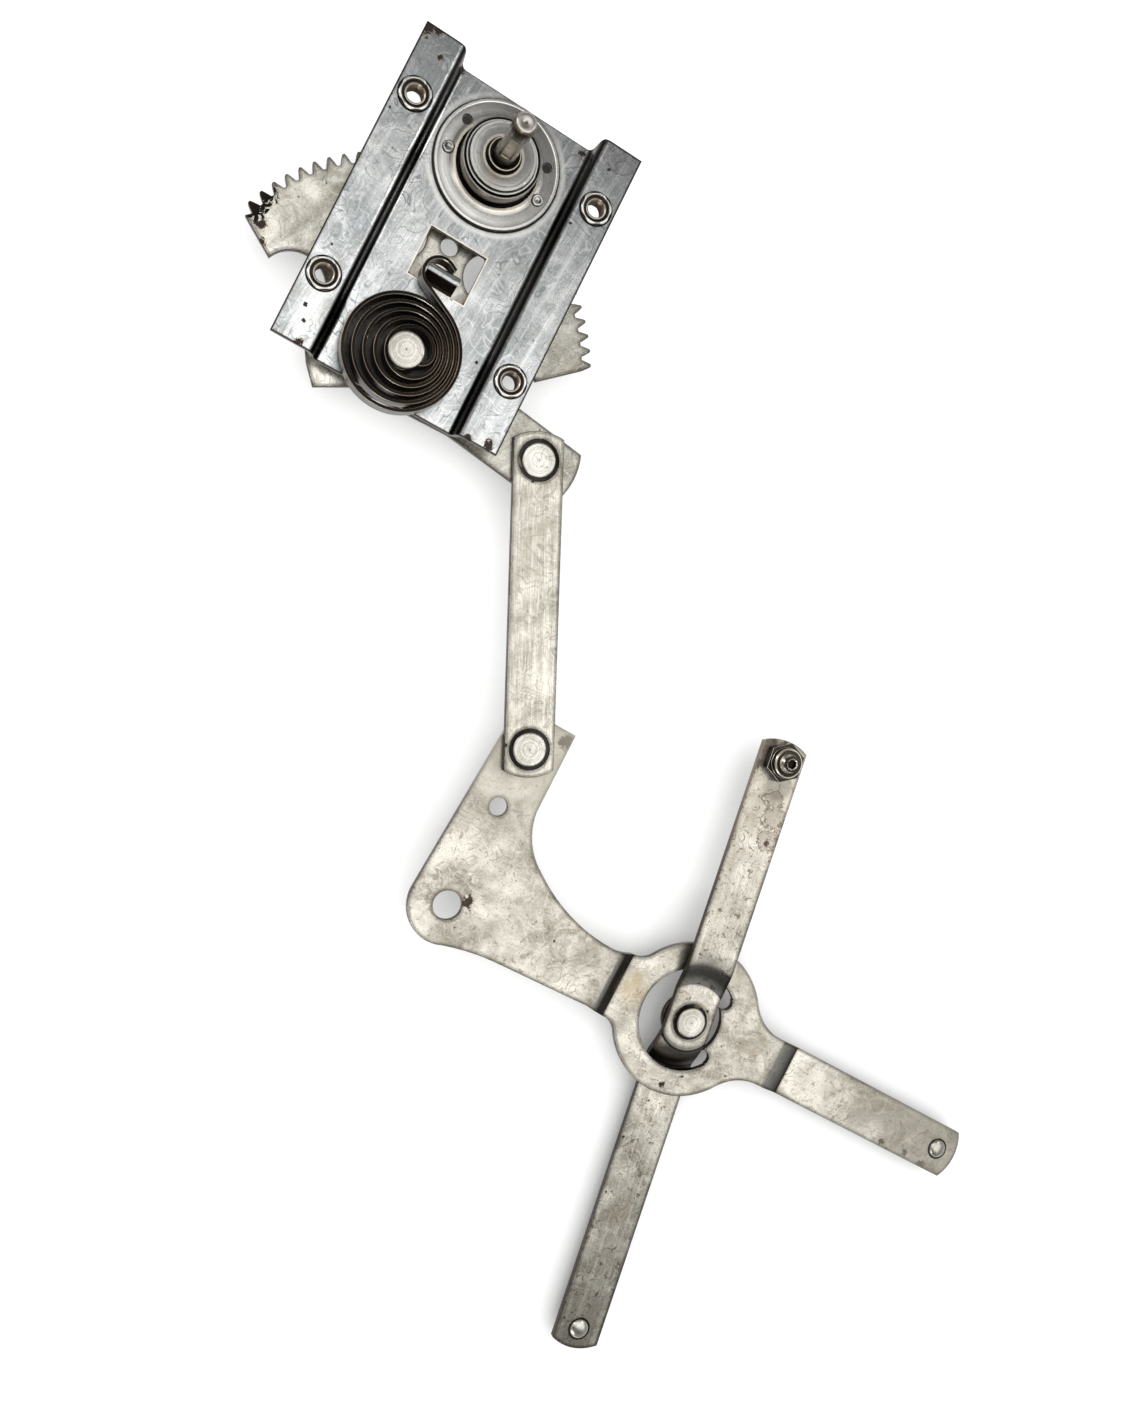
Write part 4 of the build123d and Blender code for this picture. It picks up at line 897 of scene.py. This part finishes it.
def stand_in(piece, node, body):
    """The piece takes the node's place, its body and its finish."""
    piece.data.materials.append(finishes[node].material)
    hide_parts(node)
    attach(piece, body)


print("lathe ready")

# %% [markdown]
# ## Weld nuts
# A weld nut is pushed through the flange from below, and its collar is swaged over the upper face:
# that leaves a lumpy bright ring, a groove inside it, and the thread. The groove, the bore and the
# collar's outer slope are painted in shade, and the top of the thread carries a painted highlight.
# The thread is a real helix here, cut 0.6 mm deep into the bore, because it shows as rings in the hole.

# %% Turn the four nuts
nut_flat, nut_corner, thread_r, thread_deep, pitch = 6.5, 7.5, 3.4, 0.6, 1.25
nut_body = [(4.1, -7.0), (6.5, -7.0, 6.5, 6), (nut_corner, -6.5, nut_flat, 6),
            (nut_corner, -2.02, nut_flat, 6), (5.35, -2.02), (5.35, -0.02)]
nut_collar = [(6.45, -0.02, 6.3, 6), (6.80, 0.35, 6.42, 6), (6.78, 0.72, 6.36, 6), (6.55, 1.04, 6.2, 6),
              (6.15, 1.24), (5.75, 1.27), (5.38, 1.14), (5.12, 0.85), (5.00, 0.50), (4.85, 0.20),
              (4.62, 0.12), (4.42, 0.30), (4.28, 0.52), (4.10, 0.56), (3.98, 0.42)]
nut_bore = [(thread_r, 0.30 - k * pitch / 8, 0, 0, thread_deep) for k in range(46)]
nut_light, nut_dark = (0.98, 0.95, 0.88), (0.42, 0.39, 0.33)
groove_shade, thread_highlight = (0.045, 0.030, 0.018), (0.80, 0.76, 0.68)
for number in range(1, 5):
    node = f"weld_nut_{number}"
    nut = ringed_metal(node + "_steel", middle_mm(node), nut_light, nut_dark, 1.0, 0.3, bump=0.05,
                       roughness=(0.30, 0.42), grain=0.4, marks=0.0, streak=0.0, stain=0.2, pit=0.05)
    level = height_of(nut)
    over(nut, ring_at(nut, nut.far, 6.15, 0.40), rubbed_and_highlight_white)
    # painted shade in the groove, a painted highlight at the top of the thread, and painted shade down the bore
    over(nut, ring_at(nut, nut.far, 4.95, 0.72), groove_shade, metal=0.5)
    over(nut, ring_at(nut, nut.far, 3.95, 0.22, 0.10), thread_highlight, metal=1.0)
    over(nut, times(nut, spread(nut, nut.far, 4.3, 4.1), spread(nut, level, 0.35, 0.1, 0.0, 0.85)),
         shade_brown, metal=0.7)
    # painted shade on the nut's upright faces and on the collar's outer slope
    over(nut, sheared_edge(nut, 0.60, 0.35), bare_and_shade_brown, metal=0.6)
    over(nut, times(nut, spread(nut, nut.far, 6.45, 6.65), spread(nut, level, 0.9, 0.5)),
         grease_and_shade_black, metal=0.4)
    finishes[node] = nut
    stand_in(spun(f"nut_{number}_threaded", middle_mm(node), nut_body + nut_collar + nut_bore, pitch=pitch,
                  closed=True, turn_deg=30.0, nick=(72.0, 7.0, 0.45)), node, "plate")

# %% [markdown]
# ## Dimpled rivets
# The two rivets of the brake housing were set with a punch, which raised a rim round a dimple. The
# dimple could be cut out of a domed cylinder. A profile that already holds it, spun on the same
# lathe, is shorter and leaves clean faces.

# %% Turn the rivets
rivet_mm = [(0, -3.2), (2.0, -3.2), (2.6, -2.7), (2.6, -2.0), (1.8, -2.0), (1.8, 1.2), (2.35, 1.2),
            (2.55, 1.5), (2.5, 1.95), (2.25, 2.25), (1.95, 2.36), (1.65, 2.3), (1.35, 2.05), (1.0, 1.8),
            (0.5, 1.66), (0, 1.62)]
for number in (1, 2):
    node = f"housing_rivet_{number}"
    rivet = ringed_metal(node + "_steel", middle_mm(node), rubbed_and_highlight_white, press_dark_and_shade, 1.0, 0.2, 0.4,
                         roughness=(0.26, 0.34), bump=0.03, grain=0.2, pit=0.0, marks=0.0, streak=0.0,
                         swirl=0.1)
    over(rivet, spread(rivet, rivet.far, 2.25, 2.5), bare_and_shade_brown)
    over(rivet, spread(rivet, rivet.far, 1.5, 1.0), press_dark_and_shade, 0.5)
    finishes[node] = rivet
    stand_in(spun(f"rivet_{number}_dimpled", middle_mm(node), rivet_mm, web_level, steps=40),
             node, "plate")
print("rivets set")

# %% [markdown]
# ## The crank spindle
# The spindle carries the pinion below the plate, fills the driver cup, stands in a thin sleeve,
# and ends in four drive flats under a chamfered tip with a lathe centre in it. The tip is faintly
# eight-sided, where the bar was chamfered after the flats were milled.

# %% Turn the spindle
spindle_mm = [(0, -20.6), (4.2, -20.6), (4.6, -20.2), (4.6, -8.4), (7.55, -8.4), (7.55, 3.0), (7.3, 3.2),
              (6.7, 3.2), (6.7, 6.45), (6.58, 6.6), (6.32, 6.6), (6.2, 6.45), (6.2, 5.3), (5.2, 5.3),
              (5.2, 6.8), (5.05, 7.6), (4.72, 8.6), (4.6, 9.4), (4.6, 13.3), (4.6, 13.5, 3.9, 4),
              (4.6, 31.3, 3.9, 4), (4.6, 31.5), (4.6, 39.2, 4.5, 8), (4.35, 39.9, 4.15, 8),
              (3.75, 40.55, 3.7, 8), (3.5, 40.7), (3.2, 40.75), (1.15, 40.75), (0.8, 40.6), (0.35, 40.2),
              (0, 40.1)]
stand_in(spun("spindle_turned", crank_mm, spindle_mm, turn_deg=45.0), "crank_shaft", "crank")

# %% [markdown]
# ## The guide stud
# Above its lock nut the stud shows a little over two turns of thread and a hexagon socket. Both
# could be cut with booleans, but the lathe makes them too: the thread is a wave that climbs with
# the angle, and the socket is two stations with six flats.

# %% Turn the stud
stud_low, stud_high = [corner[2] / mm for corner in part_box("guide_stud")]
arm_top = stud_high - 11.6
thread_low, thread_step, thread_cut, stud_pitch = arm_top + 8.2, 0.15, -0.45, 1.0
stud_shape = [(0, stud_low), (7.0, stud_low), (7.4, stud_low + 0.4), (7.4, stud_low + 1.9),
              (7.1, stud_low + 2.2), (4.4, stud_low + 2.2), (4.4, arm_top + 7.9)]
stud_shape += [(3.95, thread_low + k * thread_step, 0, 0, thread_cut) for k in range(18)]
stud_shape += [(3.6, stud_high), (2.6, stud_high), (2.2, stud_high - 0.35, 2.0, 6),
               (2.2, stud_high - 3.0, 2.0, 6), (0, stud_high - 3.4)]
stand_in(spun("stud_threaded", middle_mm("guide_stud"), stud_shape, pitch=stud_pitch),
         "guide_stud", "arm_b")
print("stud from", round(stud_low, 1), "to", round(stud_high, 1), "mm")

# %% [markdown]
# ## Clenched roller studs
# Each roller turns on a stud whose upper end was clenched into a low dome over the arm. A dome in
# facets would sparkle, so the two studs are turned as well.

# %% Turn the roller studs
dome_r, dome_h, shank_r, cap_r, cap_h = 4.4, 1.8, 3.2, 4.6, 1.3
for arm_name in ("a", "b"):
    node = f"roller_stud_{arm_name}"
    low, high = [corner[2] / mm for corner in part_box(node)]
    shape = [(0, low), (cap_r - 0.4, low), (cap_r, low + 0.4), (cap_r, low + cap_h), (shank_r, low + cap_h),
             (shank_r, high - dome_h), (dome_r, high - dome_h)]
    shape += [(dome_r * cos(k * pi / 20), high - dome_h + dome_h * sin(k * pi / 20)) for k in range(1, 10)]
    stand_in(spun(f"stud_{arm_name}_domed", middle_mm(node), shape + [(0, high)], steps=48),
             node, "arm_" + arm_name)
print("roller studs turned")

# %% [markdown]
# ## The clock spring
# The counterbalance spring is one flat strip: it hooks round a tab of the plate, winds inwards
# five turns and ends in a slot of the sector's pin. A curve with a bevel profile could draw it, but
# here it is a mesh: a small bevelled section set at every point of the route. Each point is given
# its share of the winding towards the pin, 0 along the hook and 1 on the tang, and the shares are
# collected in a list, but nothing reads them: the strip stays where it is built.

# %% The strip's route
pivot_mm = Vector(middle_mm("sector_bush"))
strip_t, strip_low, strip_high, strip_bevel = 1.5, -7.5, 1.0, 0.22
coil_turns, outer_r, turn_loss, coil_start_deg = 5.14, 25.33, 3.28, 62.3
outer_aside, walk_per_turn = Vector((-2.35, -0.75)), Vector((0.95, 0.53))
hook_mm, hook_r, hook_end_deg, hook_tail = Vector((-2.65, -17.15)), 6.55, 62.0, 2.6
tang_deg, tang_past = 160.0, 4.4
coil_points, sharp_deg = 420, 24.0


def coil_point(turn):
    """The turns shrink and their centre walks, because the spring is loaded to one side."""
    centre = pivot_mm + outer_aside + walk_per_turn * turn
    return centre + heading(coil_start_deg - 360 * turn) * (outer_r - turn_loss * turn)


def strip_route():
    """Points along the strip from hook to tang, each with its share of the winding."""
    away = coil_point(0) - hook_mm
    touch = (degrees(atan2(away.y, away.x)) - degrees(acos(hook_r / away.length))) % 360
    start = hook_mm + heading(hook_end_deg) * hook_r
    route = [(start + heading(hook_end_deg - 90) * hook_tail * k / 2, 0.0) for k in (2, 1)]
    swing = touch - hook_end_deg
    route += [(hook_mm + heading(hook_end_deg + swing * k / 30) * hook_r, 0.0) for k in range(31)]
    ran = route[-1][0]
    route += [(ran.lerp(coil_point(0), k / 6), 0.0) for k in range(1, 6)]
    route += [(coil_point(coil_turns * k / coil_points), k / coil_points) for k in range(coil_points + 1)]
    last = coil_point(coil_turns)
    way = (last - coil_point(coil_turns - 0.001)).normalized()
    side, across = Vector((way.y, -way.x)), Vector((heading(tang_deg).y, -heading(tang_deg).x))
    bend_r = across.dot(last - pivot_mm) / (1 - across.dot(side))
    turn = (degrees(atan2(way.y, way.x)) - tang_deg) % 360
    bend = [last + (side - Matrix.Rotation(-radians(turn * k / 12), 2) @ side) * bend_r
            for k in range(1, 13)]
    tip = pivot_mm + heading(tang_deg) * tang_past
    tang = [bend[-1].lerp(tip, k / 4) for k in range(1, 5)]
    route += [(point, 1.0) for point in bend + tang]
    return route, bend_r


route, bend_r = strip_route()
length = sum((b[0] - a[0]).length for a, b in zip(route, route[1:]))
print(len(route), "points,", round(length), "mm of strip, last bend", round(bend_r, 1), "mm")

# %% [markdown]
# The section has eight corners: a tall thin rectangle with its four edges taken off. Those narrow
# faces are what shines as two tan lines along every turn.

# %% Build the strip
half, flat = strip_t / 2, strip_t / 2 - strip_bevel
foot, brow = strip_low + strip_bevel, strip_high - strip_bevel
section = [(-half, foot), (-flat, strip_low), (flat, strip_low), (half, foot),
           (half, brow), (flat, strip_high), (-flat, strip_high), (-half, brow)]
corners = len(section)
skin = bmesh.new()
rings, shares = [], []
for number, (point, share) in enumerate(route):
    before, after = route[max(number - 1, 0)][0], route[min(number + 1, len(route) - 1)][0]
    way = (after - before).normalized()
    side = Vector((way.y, -way.x))
    rings.append([skin.verts.new(((point.x + side.x * x) * mm, (point.y + side.y * x) * mm, z * mm))
                  for x, z in section])
    shares += [share] * corners
for near, away in zip(rings, rings[1:]):
    for k in range(corners):
        skin.faces.new((near[k], near[(k + 1) % corners], away[(k + 1) % corners], away[k]))
skin.faces.new(rings[0])
skin.faces.new(list(reversed(rings[-1])))
bmesh.ops.recalc_face_normals(skin, faces=skin.faces)
strip = finished("clock_spring_strip", skin, sharp_deg)
strip.data.materials.append(finishes["counterbalance_spring"].material)
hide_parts("counterbalance_spring")
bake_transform(strip)
print("strip has", len(strip.data.vertices), "points")

# %% [markdown]
# ## Edges that catch the light
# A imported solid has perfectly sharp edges, and real sheet never has: the shear rolls one edge over
# and leaves a fine burr on the other. A bevel modifier does it without touching the solid's own
# mesh. It needs welded corners and whole faces, so a weld and a planar dissolve come first. The
# bends of the sheet are strips of narrow faces: a small geometry-nodes group shades them smoothly
# and keeps true corners sharp, and weighted normals last keep the flats flat. The pieces that were
# spun round have good normals of their own and are left alone.

# %% Dress and soften each solid


def dress(node, material):
    """The solid keeps its mesh; its material slots take the new finish."""
    slots = nodes[node].material_slots
    for slot in slots:
        slot.material = material
    if not slots:
        nodes[node].data.materials.append(material)


def smooth_bends(limit_deg):
    """Geometry nodes that shade a solid smoothly and keep only the corners over limit_deg sharp."""
    group = bpy.data.node_groups.new("smooth_bends", "GeometryNodeTree")
    for way in ("INPUT", "OUTPUT"):
        group.interface.new_socket("Geometry", in_out=way, socket_type="NodeSocketGeometry")
    into, faces, edges, angle, below, out = [group.nodes.new(kind) for kind in (
        "NodeGroupInput", "GeometryNodeSetShadeSmooth", "GeometryNodeSetShadeSmooth",
        "GeometryNodeInputMeshEdgeAngle", "FunctionNodeCompare", "NodeGroupOutput")]
    edges.domain = "EDGE"
    below.operation = "LESS_THAN"
    below.inputs["B"].default_value = radians(limit_deg)
    for start, end in ((into.outputs[0], faces.inputs["Geometry"]),
                       (faces.outputs[0], edges.inputs["Geometry"]),
                       (angle.outputs["Unsigned Angle"], below.inputs["A"]),
                       (below.outputs[0], edges.inputs["Shade Smooth"]), (edges.outputs[0], out.inputs[0])):
        group.links.new(start, end)
    return group


bends = smooth_bends(36.0)
weld_mm, planar_deg, corner_deg = 0.002, 0.6, 32.0


def soften(piece, width_mm):
    """Round the piece's sharp edges with modifiers."""
    weld = piece.modifiers.new("weld", "WELD")
    weld.merge_threshold = weld_mm * mm
    whole = piece.modifiers.new("whole_faces", "DECIMATE")
    whole.decimate_type = "DISSOLVE"
    whole.angle_limit = radians(planar_deg)
    bevel = piece.modifiers.new("burr", "BEVEL")
    bevel.width = width_mm * mm
    bevel.segments = 3
    bevel.limit_method = "ANGLE"
    bevel.angle_limit = radians(corner_deg)
    bevel.harden_normals = False
    piece.modifiers.new("smooth_bends", "NODES").node_group = bends
    flats = piece.modifiers.new("flats", "WEIGHTED_NORMAL")
    flats.keep_sharp = True
    flats.weight = 90


edge_mm = {"mounting_plate": 0.45, "sector_gear": 0.5, "link_bar": 0.6, "arm_a": 0.6, "arm_b": 0.6,
           "pivot_strap": 0.5, "lock_nut": 0.5, "scissor_pin": 0.4, "sector_pin": 0.4,
           "link_pin_upper": 0.3, "link_pin_lower": 0.3}
for node, coat in finishes.items():
    dress(node, coat.material)
for node, width in edge_mm.items():
    soften(nodes[node], width)
print("dressed", len(finishes), "softened", len(edge_mm))

# %% [markdown]
# ## The end
# Nothing added here may stand outside the box of the solids.

# %% The end
print("scene built")
